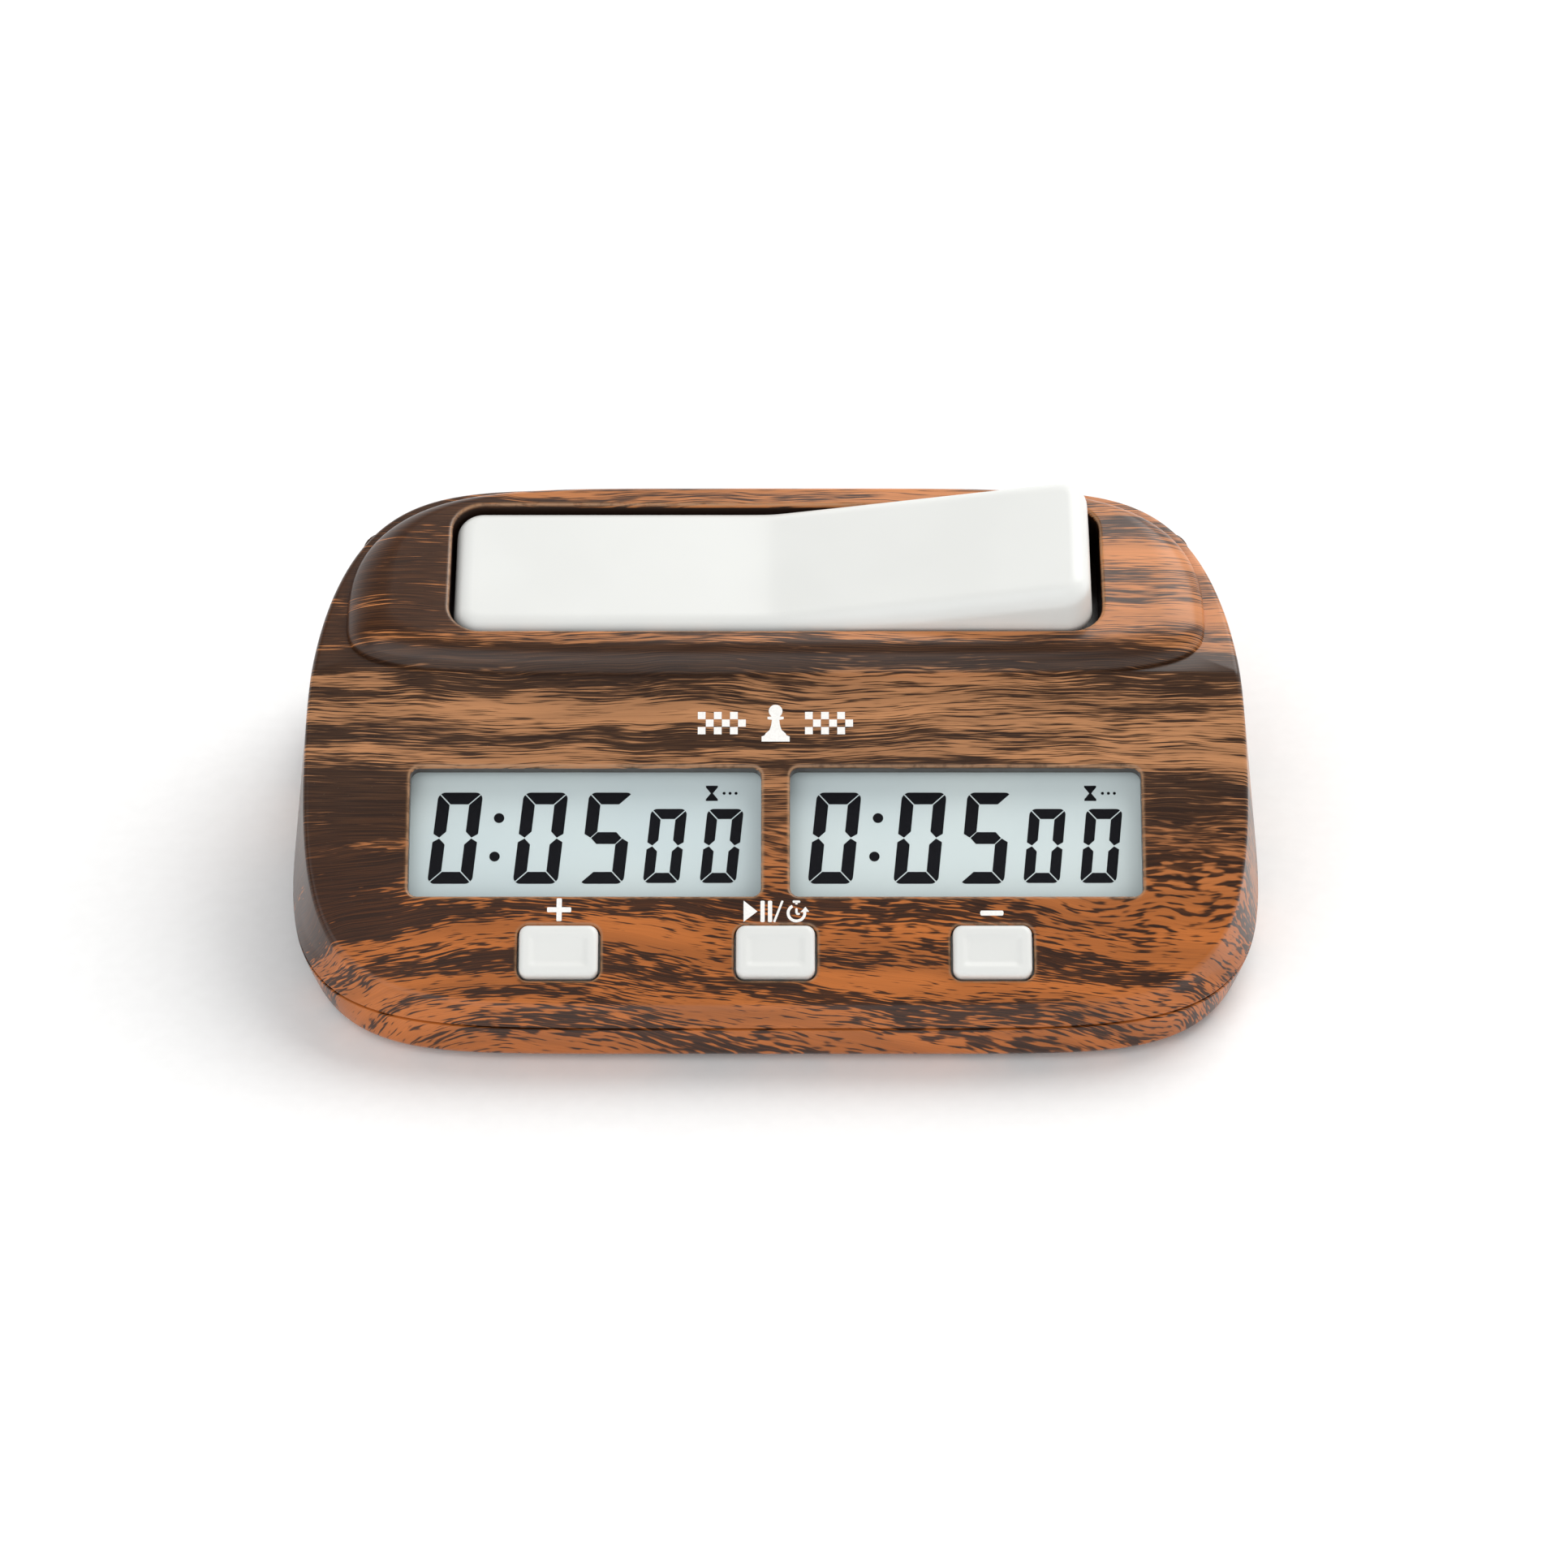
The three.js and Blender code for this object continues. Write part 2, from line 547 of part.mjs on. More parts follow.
/** The well, the slots for the rocker's feet, the holes for its pin, and room for the pin's ends. */
function wellCutters() {
  const well = plate(2 * wellHalfLength, 2 * wellHalfWidth, WELL_CORNER, 0, ROCKER_CENTRE,
    wellFloor, 2 * HUMP_HEIGHT);
  const sweep = NUB_DROP * Math.sin(halfSwing) + 2 * GAP;
  const slots = [-1, 1].map((side) => box(
    [side * NUB_OFFSET - NUB_SIZE / 2 - sweep, ROCKER_CENTRE - NUB_SIZE / 2 - 2 * GAP, wellUnderside - CUT],
    [side * NUB_OFFSET + NUB_SIZE / 2 + sweep, ROCKER_CENTRE + NUB_SIZE / 2 + 2 * GAP, wellFloor + CUT]));
  const pinHole = rodAlongY(PIN_RADIUS + GAP, 0, pivotHeight,
    wellFront - SINK, wellRear + SINK);
  const headRoom = rodAlongY(PIN_HEAD_RADIUS + PIN_END_ROOM, 0, pivotHeight,
    wellFront - GAP - 2 * PIN_HEAD - PIN_END_ROOM, wellFront - GAP / 2);
  const clipRoom = rodAlongY(CLIP_RADIUS + PIN_END_ROOM, 0, pivotHeight,
    wellRear + GAP / 2, wellRear + PIN_TAIL + PIN_END_ROOM);
  return [well, ...slots, pinHole, headRoom, clipRoom].map((geometry) => solid(onDeck(geometry)));
}

function upperShell() {
  const outside = join(caseVolume(0, upperBottom), humpVolume(0));
  const inside = join(caseVolume(WALL, upperBottom - CUT), humpVolume(WALL));
  const rebateInset = WALL - TONGUE_WIDTH - GAP;
  const rebateTop = SPLIT_HEIGHT + TONGUE_HEIGHT + GAP;
  const rebate = solid(loft([caseRing(upperBottom - CUT, rebateInset), caseRing(upperBottom, rebateInset),
    caseRing(rebateTop, rebateInset)]));
  const furniture = join(wellBlock(), upperBosses()).intersect(outside);
  const holes = wellCutters();
  for (const side of [-1, 1]) {
    holes.push(faceHole(WINDOW_WIDTH, WINDOW_HEIGHT, WINDOW_CORNER, side * windowCentre, WINDOW_UP));
  }
  for (const side of [-1, 0, 1]) {
    holes.push(faceHole(BUTTON_WIDTH + 2 * GAP, BUTTON_HEIGHT + 2 * GAP, BUTTON_CORNER + GAP,
      side * BUTTON_SPACING, BUTTON_UP));
  }
  for (const [x, y] of Object.values(caseScrews)) {
    holes.push(solid(post(CASE_SCREW_RADIUS + GAP, x, y, 0, screwSeat + CASE_SCREW_LENGTH + CUT)));
  }
  for (const [x, y] of boardScrewPlaces()) {
    holes.push(solid(onFace(post(SMALL_SCREW_RADIUS + GAP, x, y, boardTop - CUT, -WALL))));
  }
  for (const x of turnScrewPlaces()) {
    holes.push(solid(onDeck(post(SMALL_SCREW_RADIUS + GAP, x, ROCKER_CENTRE, turnBoardTop - CUT,
      wellUnderside))));
  }
  return cut(join(outside.subtract(inside).subtract(rebate), furniture), ...holes);
}

/** Wall of the battery bay, standing on the lower shell's floor. */
function bayWalls() {
  return solid(box(
    [-bayHalfLength - COMPARTMENT_WALL, CELL_Y - bayHalfWidth - COMPARTMENT_WALL, floorTop - SINK],
    [bayHalfLength + COMPARTMENT_WALL, CELL_Y + bayHalfWidth + COMPARTMENT_WALL, cellZ + BAY_RISE]));
}

function lowerShell() {
  const outside = solid(loft([caseRing(FLOOR_HEIGHT, FLOOR_EDGE),
    caseRing(FLOOR_HEIGHT + FLOOR_EDGE * 0.3, FLOOR_EDGE * 0.3),
    caseRing(FLOOR_HEIGHT + FLOOR_EDGE, 0), caseRing(SPLIT_HEIGHT, 0)]));
  const tongueInset = WALL - TONGUE_WIDTH;
  const tongue = solid(loft([caseRing(floorTop, tongueInset), caseRing(SPLIT_HEIGHT, tongueInset),
    caseRing(SPLIT_HEIGHT + TONGUE_HEIGHT, tongueInset)]));
  const inside = solid(loft([caseRing(floorTop, WALL), caseRing(upperBottom, WALL),
    caseRing(SPLIT_HEIGHT + TONGUE_HEIGHT + CUT, WALL)]));
  const posts = Object.values(caseScrews).map(([x, y]) => (
    solid(post(LOWER_POST_RADIUS, x, y, floorTop - SINK, postTop))));
  const bay = box([-bayHalfLength, CELL_Y - bayHalfWidth, 0],
    [bayHalfLength, CELL_Y + bayHalfWidth, cellZ + BAY_RISE + CUT]);
  const doorRecess = box(
    [-bayHalfLength - DOOR_MARGIN, CELL_Y - bayHalfWidth - DOOR_MARGIN, 0],
    [bayHalfLength + DOOR_MARGIN, CELL_Y + bayHalfWidth + DOOR_MARGIN, FLOOR_HEIGHT + DOOR_THICKNESS + GAP]);
  const cutters = [solid(bay), solid(doorRecess)];
  for (const [x, y] of Object.values(caseScrews)) {
    cutters.push(solid(post(CASE_HEAD_RADIUS + GAP, x, y, 0, screwSeat)));
    cutters.push(solid(post(CASE_SCREW_RADIUS + GAP, x, y, 0, postTop + CUT)));
  }
  for (const [x, y] of Object.values(feet)) {
    cutters.push(solid(post(FOOT_RADIUS + GAP, x, y, 0, FOOT_THICKNESS + GAP)));
  }
  cutters.push(solid(plate(POWER_TRAVEL + KNOB.length + 2 * GAP, KNOB.width + 2 * GAP, KNOB_SLOT_CORNER,
    POWER_X, POWER_Y, 0, floorTop + CUT)));
  return cut(join(cut(join(outside, tongue), inside), bayWalls(), ...posts), ...cutters);
}

function caseParts() {
  piece(clock, 'upper_shell', upperShell(), finish.woodPrint);
  piece(clock, 'lower_shell', lowerShell(), finish.woodPrint);
  for (const [place, [x, y]] of Object.entries(caseScrews)) {
    const seat = screwSeat - GAP;
    const head = solid(post(CASE_HEAD_RADIUS, x, y, seat - CASE_HEAD_HEIGHT, seat));
    const shank = solid(post(CASE_SCREW_RADIUS, x, y, seat - SINK, seat + CASE_SCREW_LENGTH, THREAD_ROUND));
    const recess = [[CROSS.reach, CROSS.half], [CROSS.half, CROSS.reach]].map(([across, along]) => solid(box(
      [x - across, y - along, 0], [x + across, y + along, seat - CASE_HEAD_HEIGHT + CROSS.depth])));
    piece(clock, `case_screw_${place}`, cut(join(head, shank), ...recess), finish.steel);
  }
  for (const [place, [x, y]] of Object.entries(feet)) {
    piece(clock, `foot_${place}`, post(FOOT_RADIUS, x, y, 0, FOOT_THICKNESS), finish.rubber);
  }
}

// -----------------------------------------------------------------------------------------------------------
// Rocker and turn switches
// -----------------------------------------------------------------------------------------------------------

/** The rocker level on its pivot, with both wings rising to their ends. The pivot is at its origin. */
function rockerBody() {
  const half = ROCKER_LENGTH / 2;
  const rise = half * Math.tan(halfSwing);
  const endBottom = rockerTop + rise - ROCKER_END_HEIGHT;
  const bottom = 2 * SINK - HUB_RADIUS;
  const outline = [[-half, endBottom], [0, bottom], [half, endBottom], [half, rockerTop + rise],
    [0, rockerTop], [-half, rockerTop + rise]];
  const hollowHalf = half - ROCKER_SKIN;
  const hollowTop = rockerTop - ROCKER_SKIN;
  const hollowRise = hollowHalf * Math.tan(halfSwing);
  const hollow = [[-hollowHalf, -half], [hollowHalf, -half], [hollowHalf, hollowTop + hollowRise],
    [0, hollowTop], [-hollowHalf, hollowTop + hollowRise]];
  const plan = plate(ROCKER_LENGTH, ROCKER_WIDTH, ROCKER_CORNER, 0, 0, -half, half);
  const innerPlan = plate(ROCKER_LENGTH - 2 * ROCKER_SKIN, ROCKER_WIDTH - 2 * ROCKER_SKIN,
    ROCKER_CORNER - ROCKER_SKIN, 0, 0, -half, half);
  const outer = solid(alongY(outline, ROCKER_WIDTH + CUT)).intersect(solid(plan));
  const inner = solid(alongY(hollow, ROCKER_WIDTH + CUT)).intersect(solid(innerPlan));
  const hub = join(solid(rodAlongY(HUB_RADIUS, 0, 0, -ROCKER_WIDTH / 2, ROCKER_WIDTH / 2)),
    solid(box([-ROCKER_WEB / 2, 2 * SINK - ROCKER_WIDTH / 2, 0],
      [ROCKER_WEB / 2, ROCKER_WIDTH / 2 - 2 * SINK, hollowTop + SINK])));
  const feet = [-1, 1].map((side) => solid(box(
    [side * NUB_OFFSET - NUB_SIZE / 2, -NUB_SIZE / 2, -NUB_DROP],
    [side * NUB_OFFSET + NUB_SIZE / 2, NUB_SIZE / 2, hollowTop + ROCKER_SKIN * 2 / 3])));
  const bore = solid(rodAlongY(PIN_RADIUS + GAP, 0, 0, -ROCKER_WIDTH, ROCKER_WIDTH));
  return cut(join(outer.subtract(inner), hub, ...feet), bore);
}

/** Push switch body with the bore that its plunger slides in, from z0 to z1. */
function switchBody(x, y, z0, z1) {
  const half = SWITCH_SIZE / 2;
  const body = box([x - half, y - half, z0], [x + half, y + half, z1]);
  return cut(solid(body), solid(post(PLUNGER_RADIUS + GAP, x, y, z0 + SWITCH_FLOOR, z1 + CUT)));
}

/** Small screw from below, its head under z. */
function smallScrew(x, y, z) {
  const head = solid(post(SMALL_HEAD_RADIUS, x, y, z - SMALL_HEAD_HEIGHT, z));
  return join(head, solid(post(SMALL_SCREW_RADIUS, x, y, z - SINK, z + SMALL_SCREW_LENGTH, THREAD_ROUND)));
}

function turnParts() {
  const pivot = new THREE.Group();
  pivot.position.set(0, ROCKER_CENTRE, pivotHeight);
  pivot.rotation.y = -halfSwing;
  deck.add(pivot);
  piece(pivot, 'rocker', rockerBody(), finish.whitePlastic);

  const pin = join(
    solid(rodAlongY(PIN_RADIUS, 0, pivotHeight, wellFront - GAP - PIN_HEAD, wellRear + PIN_TAIL)),
    solid(rodAlongY(PIN_HEAD_RADIUS, 0, pivotHeight, wellFront - GAP - 2 * PIN_HEAD, wellFront - GAP)));
  piece(deck, 'rocker_pin', pin, finish.steel);
  const clipEnd = wellRear + GAP + CLIP_THICKNESS;
  const clip = cut(solid(rodAlongY(CLIP_RADIUS, 0, pivotHeight, wellRear + GAP, clipEnd)),
    solid(rodAlongY(CLIP_BORE, 0, pivotHeight, wellRear, clipEnd + CUT)),
    solid(box([-CLIP_SLOT / 2, wellRear, pivotHeight - 2 * CLIP_RADIUS],
      [CLIP_SLOT / 2, clipEnd + CUT, pivotHeight])));
  piece(deck, 'pin_clip', clip, finish.steel);

  const stroke = { left: plungerPressedTop, right: plungerPressedTop + plungerTravel };
  for (const [side, top] of Object.entries(stroke)) {
    const x = side === 'left' ? -NUB_OFFSET : NUB_OFFSET;
    piece(deck, `turn_switch_${side}`, switchBody(x, ROCKER_CENTRE, switchBottom, switchTop),
      finish.blackPlastic);
    const length = plungerPressedTop - switchBottom - 2 * GAP;
    piece(deck, `turn_plunger_${side}`, post(PLUNGER_RADIUS, x, ROCKER_CENTRE, top - length, top),
      finish.whitePlastic);
  }

  const holes = turnScrewPlaces().map((x) => solid(post(SMALL_SCREW_RADIUS + GAP, x, ROCKER_CENTRE,
    turnBoardBottom - CUT, turnBoardTop + CUT)));
  const board = solid(box([-TURN_BOARD_LENGTH / 2, ROCKER_CENTRE - TURN_BOARD_WIDTH / 2, turnBoardBottom],
    [TURN_BOARD_LENGTH / 2, ROCKER_CENTRE + TURN_BOARD_WIDTH / 2, turnBoardTop]));
  piece(deck, 'turn_board', cut(board, ...holes), finish.board);
  turnScrewPlaces().forEach((x, i) => {
    piece(deck, `turn_board_screw_${i + 1}`, smallScrew(x, ROCKER_CENTRE, turnBoardBottom - GAP),
      finish.steel);
  });
}

// -----------------------------------------------------------------------------------------------------------
// Displays
// -----------------------------------------------------------------------------------------------------------

function displayParts() {
  for (const [side, name] of [[-1, 'left'], [1, 'right']]) {
    const x = side * windowCentre;
    piece(facePlate, `window_lens_${name}`,
      plate(glassWidth, glassHeight, LENS_CORNER, x, WINDOW_UP, lensTop - LENS_THICKNESS, lensTop),
      finish.clearLens);
    piece(facePlate, `lcd_${name}`,
      box([x - glassWidth / 2, WINDOW_UP - glassHeight / 2, lcdBottom],
        [x + glassWidth / 2, WINDOW_UP + glassHeight / 2, lcdTop]), finish.displayGlass);
    const edge = WINDOW_UP + glassHeight / 2;
    piece(facePlate, `contact_strip_${name}`,
      box([x - glassWidth / 2 + ZEBRA_SHORT, edge - ZEBRA_WIDTH, boardTop + GAP],
        [x + glassWidth / 2 - ZEBRA_SHORT, edge, boardTop + GAP + ZEBRA_HEIGHT]), finish.rubber);
  }
  const outerHalf = windowCentre + glassWidth / 2 + GAP + FRAME_WALL;
  const outerHeight = glassHeight + 2 * (GAP + FRAME_WALL);
  const frame = solid(plate(2 * outerHalf, outerHeight, FRAME_CORNER, 0, WINDOW_UP, boardTop + GAP, lensTop));
  const bays = [-1, 1].map((side) => solid(box(
    [side * windowCentre - glassWidth / 2 - GAP, WINDOW_UP - glassHeight / 2 - GAP, boardTop - CUT],
    [side * windowCentre + glassWidth / 2 + GAP, WINDOW_UP + glassHeight / 2 + GAP, lensTop + CUT])));
  piece(facePlate, 'display_frame', cut(frame, ...bays), finish.blackPlastic);
}

// -----------------------------------------------------------------------------------------------------------
// Push buttons
// -----------------------------------------------------------------------------------------------------------

function buttonParts() {
  const names = ['plus', 'play', 'minus'];
  const tactTop = boardTop + GAP + TACT_HEIGHT;
  const flangeTop = -WALL - GAP;
  const stemBottom = flangeTop - BUTTON_FLANGE - STEM_LENGTH;
  const plungerTop = stemBottom - GAP;
  names.forEach((name, i) => {
    const x = (i - 1) * BUTTON_SPACING;
    const cap = solid(plate(BUTTON_WIDTH, BUTTON_HEIGHT, BUTTON_CORNER, x, BUTTON_UP, flangeTop - SINK,
      BUTTON_PROUD));
    const flange = solid(plate(BUTTON_WIDTH + 2 * BUTTON_FLANGE, BUTTON_HEIGHT + 2 * BUTTON_FLANGE, FLANGE_CORNER,
      x, BUTTON_UP, flangeTop - BUTTON_FLANGE, flangeTop));
    const stem = solid(post(STEM_RADIUS, x, BUTTON_UP, stemBottom, flangeTop));
    piece(facePlate, `button_${name}`, join(cap, flange, stem), finish.whitePlastic);
    piece(facePlate, `tact_switch_${name}`, switchBody(x, BUTTON_UP, boardTop + GAP, tactTop),
      finish.blackPlastic);
    const plungerBottom = boardTop + GAP + SWITCH_FLOOR + BUTTON_TRAVEL + TACT_REST;
    piece(facePlate, `tact_plunger_${name}`, post(PLUNGER_RADIUS, x, BUTTON_UP, plungerBottom, plungerTop),
      finish.whitePlastic);
  });
}

// -----------------------------------------------------------------------------------------------------------
// Main board
// -----------------------------------------------------------------------------------------------------------

function boardParts() {
  const holes = boardScrewPlaces().map(([x, y]) => solid(post(SMALL_SCREW_RADIUS + GAP, x, y,
    boardBottom - CUT, boardTop + CUT)));
  const board = solid(box([-boardHalfWidth, BOARD_BOTTOM, boardBottom], [boardHalfWidth, BOARD_TOP, boardTop]));
  piece(facePlate, 'main_board', cut(board, ...holes), finish.board);
  boardScrewPlaces().forEach(([x, y], i) => {
    piece(facePlate, `board_screw_${i + 1}`, smallScrew(x, y, boardBottom - GAP), finish.steel);
  });
  const under = boardBottom - GAP;
  const chipHalf = CHIP.size / 2;
  piece(facePlate, 'controller_chip', box([-chipHalf, CHIP.up - chipHalf, under - CHIP.thickness],
    [chipHalf, CHIP.up + chipHalf, under]), finish.blackPlastic);
  piece(facePlate, 'crystal', rodAlongX(CRYSTAL.radius, CRYSTAL.up, under - CRYSTAL.radius,
    CRYSTAL.across - CRYSTAL.length / 2, CRYSTAL.across + CRYSTAL.length / 2), finish.steel);
  piece(facePlate, 'buzzer', post(BUZZER.radius, BUZZER.across, BUZZER.up, under - BUZZER.thickness, under,
    2 * ROUND), finish.blackPlastic);
}

// -----------------------------------------------------------------------------------------------------------
// Battery and power switch
// -----------------------------------------------------------------------------------------------------------

/** One-and-a-half volt cell lying along X, with its raised positive end to the right. */
function cell(x0) {
  const shoulder = CELL_LENGTH - CELL_NUB.length;
  const profile = [[0, 0], [CELL_RADIUS - CELL_EDGE, 0], [CELL_RADIUS, CELL_EDGE],
    [CELL_RADIUS, shoulder - CELL_EDGE], [CELL_RADIUS - CELL_EDGE, shoulder],
    [CELL_NUB.radius, shoulder], [CELL_NUB.radius, CELL_LENGTH], [0, CELL_LENGTH]];
  return new THREE.LatheGeometry(profile.map(([radius, along]) => new THREE.Vector2(radius, along)), CELL_ROUND)
    .rotateZ(-Math.PI / 2)
    .translate(x0, CELL_Y, cellZ);
}

/** Conical contact spring, wound round the cell's axis. */
function contactSpring(x0, length) {
  const points = [];
  const steps = SPRING.turns * SPRING.steps;
  for (let i = 0; i <= steps; i += 1) {
    const along = i / steps;
    const angle = along * SPRING.turns * 2 * Math.PI;
    const radius = SPRING.wide + (SPRING.narrow - SPRING.wide) * along;
    points.push([x0 + length * along, CELL_Y + radius * Math.cos(angle), cellZ + radius * Math.sin(angle)]);
  }
  return tube(points, SPRING.wire, 2 * LEAD_STEPS);
}

function batteryParts() {
  const left = -bayHalfLength + GAP;
  const right = bayHalfLength - GAP;
  const contactHalf = CONTACT_SIZE / 2;
  const contact = (x0) => box([x0, CELL_Y - contactHalf, cellZ - contactHalf],
    [x0 + CONTACT_THICKNESS, CELL_Y + contactHalf, cellZ + contactHalf]);
  piece(clock, 'contact_negative', contact(left), finish.steel);
  piece(clock, 'contact_positive', contact(right - CONTACT_THICKNESS), finish.steel);
  const springStart = left + CONTACT_THICKNESS + CONTACT_ROOM;
  const cellStart = right - CONTACT_THICKNESS - GAP - CELL_LENGTH;
  piece(clock, 'contact_spring', contactSpring(springStart, cellStart - springStart - CONTACT_ROOM),
    finish.steel);
  piece(clock, 'battery_cell', cell(cellStart), finish.cellSleeve);

  const halfLength = bayHalfLength + DOOR_MARGIN - GAP;
  const halfSpan = bayHalfWidth + DOOR_MARGIN - GAP;
  const door = solid(plate(2 * halfLength, 2 * halfSpan, DOOR_CORNER, 0, CELL_Y, FLOOR_HEIGHT,
    FLOOR_HEIGHT + DOOR_THICKNESS));
  const ribs = [-1, 1].map((side) => solid(box(
    [side * DOOR_RIB.across - DOOR_RIB.width / 2, CELL_Y - bayHalfWidth + DOOR_RIB.front, FLOOR_HEIGHT + SINK],
    [side * DOOR_RIB.across + DOOR_RIB.width / 2, CELL_Y + bayHalfWidth - DOOR_RIB.rear, floorTop - GAP / 1.5])));
  piece(clock, 'battery_door', join(door, ...ribs), finish.woodPrint);

  const body = box([POWER_X - POWER_BODY.length / 2, POWER_Y - POWER_BODY.width / 2, floorTop + GAP],
    [POWER_X + POWER_BODY.length / 2, POWER_Y + POWER_BODY.width / 2, floorTop + POWER_BODY.top]);
  const slotHalf = (KNOB.length + POWER_TRAVEL) / 2 + GAP;
  const slot = box([POWER_X - slotHalf, POWER_Y - KNOB.width / 2 - GAP, 0],
    [POWER_X + slotHalf, POWER_Y + KNOB.width / 2 + GAP, floorTop + POWER_BODY.slotTop]);
  piece(clock, 'power_switch', cut(solid(body), solid(slot)), finish.steel);
  const knobX = POWER_X - POWER_TRAVEL / 2;
  piece(clock, 'power_knob', box([knobX - KNOB.length / 2, POWER_Y - KNOB.width / 2, FLOOR_HEIGHT + GAP],
    [knobX + KNOB.length / 2, POWER_Y + KNOB.width / 2, floorTop + KNOB.top]), finish.blackPlastic);
}

/** Insulated leads from the battery contacts to the board, and the flat cable between the two boards. */
function leadParts() {
  const landing = new THREE.Vector3(0, BOARD_TOP - LEAD_LANDING.up, boardBottom - LEAD_LANDING.under)
    .applyMatrix4(faceFrame);
  const top = cellZ + LEAD_RISE;
  for (const [side, name, look] of [[1, 'red', finish.redLead], [-1, 'black', finish.blackLead]]) {
    const x = side * (bayHalfLength - GAP - CONTACT_THICKNESS / 2);
    const points = [
      [x, CELL_Y, cellZ + LEAD_START],
      [x, CELL_Y - LEAD_BACK, top],
      [x - side * LEAD_BACK, CELL_Y - LEAD_RUN, top],
      [x - side * LEAD_SWAY, (CELL_Y + landing.y) / 2 - LEAD_SWAY, landing.z - LEAD_SAG],
      [x - side * LEAD_LANDING.across, landing.y, landing.z],
    ];
    piece(clock, `battery_lead_${name}`, tube(points, LEAD_RADIUS, LEAD_STEPS), look);
  }
  const turnEdge = ROCKER_CENTRE - TURN_BOARD_WIDTH / 2;
  const start = new THREE.Vector3(0, turnEdge + RIBBON_ENDS.turn, turnBoardBottom - RIBBON.under)
    .applyMatrix4(deckFrame);
  const end = new THREE.Vector3(0, BOARD_TOP - RIBBON_ENDS.main, boardBottom - RIBBON.under)
    .applyMatrix4(faceFrame);
  const middle = start.clone().add(end).multiplyScalar(0.5)
    .add(new THREE.Vector3(0, RIBBON.lean, -RIBBON.sag));
  const section = new THREE.Shape()
    .moveTo(-RIBBON.half, -RIBBON.thickness / 2)
    .lineTo(RIBBON.half, -RIBBON.thickness / 2)
    .lineTo(RIBBON.half, RIBBON.thickness / 2)
    .lineTo(-RIBBON.half, RIBBON.thickness / 2);
  piece(clock, 'ribbon_cable', new THREE.ExtrudeGeometry(section,
    { extrudePath: new THREE.CatmullRomCurve3([start, middle, end]), steps: RIBBON.steps }), finish.whitePlastic);
}

caseParts();
turnParts();
displayParts();
buttonParts();
boardParts();
batteryParts();
leadParts();

export default clock;
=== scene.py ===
"""Fine surfaces, finishes, light and camera for a digital chess clock, built around its packed model.

Every length is in metres, in the model's own frame: +Z up, the displays facing -Y, the origin on the table.
"""
import json
import math

import bmesh
import bpy
import numpy as np
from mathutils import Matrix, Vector, geometry


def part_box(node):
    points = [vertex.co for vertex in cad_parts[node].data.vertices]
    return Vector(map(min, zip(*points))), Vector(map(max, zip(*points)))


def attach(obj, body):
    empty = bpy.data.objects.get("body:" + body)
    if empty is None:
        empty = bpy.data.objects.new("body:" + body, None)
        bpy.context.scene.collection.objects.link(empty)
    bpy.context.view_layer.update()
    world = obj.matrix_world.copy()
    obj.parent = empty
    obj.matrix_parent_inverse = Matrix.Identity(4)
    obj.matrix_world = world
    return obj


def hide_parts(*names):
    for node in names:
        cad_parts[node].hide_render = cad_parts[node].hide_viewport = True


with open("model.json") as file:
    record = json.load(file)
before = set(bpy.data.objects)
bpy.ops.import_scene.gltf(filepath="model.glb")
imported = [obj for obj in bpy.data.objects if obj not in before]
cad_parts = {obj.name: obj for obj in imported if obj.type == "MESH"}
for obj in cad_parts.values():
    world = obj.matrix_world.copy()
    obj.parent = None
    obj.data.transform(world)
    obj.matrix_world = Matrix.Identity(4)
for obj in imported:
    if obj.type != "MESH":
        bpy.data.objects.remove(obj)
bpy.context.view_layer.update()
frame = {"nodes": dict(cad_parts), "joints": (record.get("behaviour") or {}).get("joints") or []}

bl_info = {
    "name": "Chess clock",
    "version": (1, 0, 0),
    "blender": (4, 5, 0),
    "location": "View3D > Sidebar > Chess clock",
    "description": "Surfaces, finishes, light and camera of a digital chess clock",
    "category": "Object",
}

MM = 0.001

# ----------------------------------------------------------
# Working frames, read from the model's joints and nodes
# ----------------------------------------------------------


class Plane:
    """A working frame: an origin and three axes, across, along and out."""

    def __init__(self, origin, slope, roll=0.0):
        across = np.array((1.0, 0.0, 0.0))
        along = np.array((0.0, math.cos(slope), math.sin(slope)))
        out = np.cross(across, along)
        turned = math.cos(roll) * across + math.sin(roll) * out
        self.axes = np.stack([turned, along, np.cross(turned, along)])
        self.origin = np.array(origin, float)

    def place(self, across, along, out=0.0):
        """World points from coordinates in this frame."""
        local = np.stack(np.broadcast_arrays(across, along, out), -1)
        return local @ self.axes + self.origin

    def read(self, points):
        """Coordinates in this frame from world points."""
        return (points - self.origin) @ self.axes.T


def node_points(name):
    mesh = frame["nodes"][name].data
    points = np.zeros(len(mesh.vertices) * 3, np.float32)
    mesh.vertices.foreach_get("co", points)
    return points.reshape(-1, 3).astype(float)


def corners(name, plane):
    """Lowest and highest coordinates of a node in a working frame."""
    local = plane.read(node_points(name))
    return local.min(0), local.max(0)


def joint(name):
    return next(row for row in frame["joints"] if row["name"] == name)


TABLE = Plane((0, 0, 0), 0)
press_axis = joint("play_press")["axis"]
tilt_axis = joint("rocker_tilt")["axis"]
FACE_SLOPE = math.atan2(press_axis[1], -press_axis[2])
DECK_SLOPE = math.atan2(tilt_axis[2], tilt_axis[1])
FACE_TAN = math.tan(FACE_SLOPE)
DECK_TAN = math.tan(DECK_SLOPE)

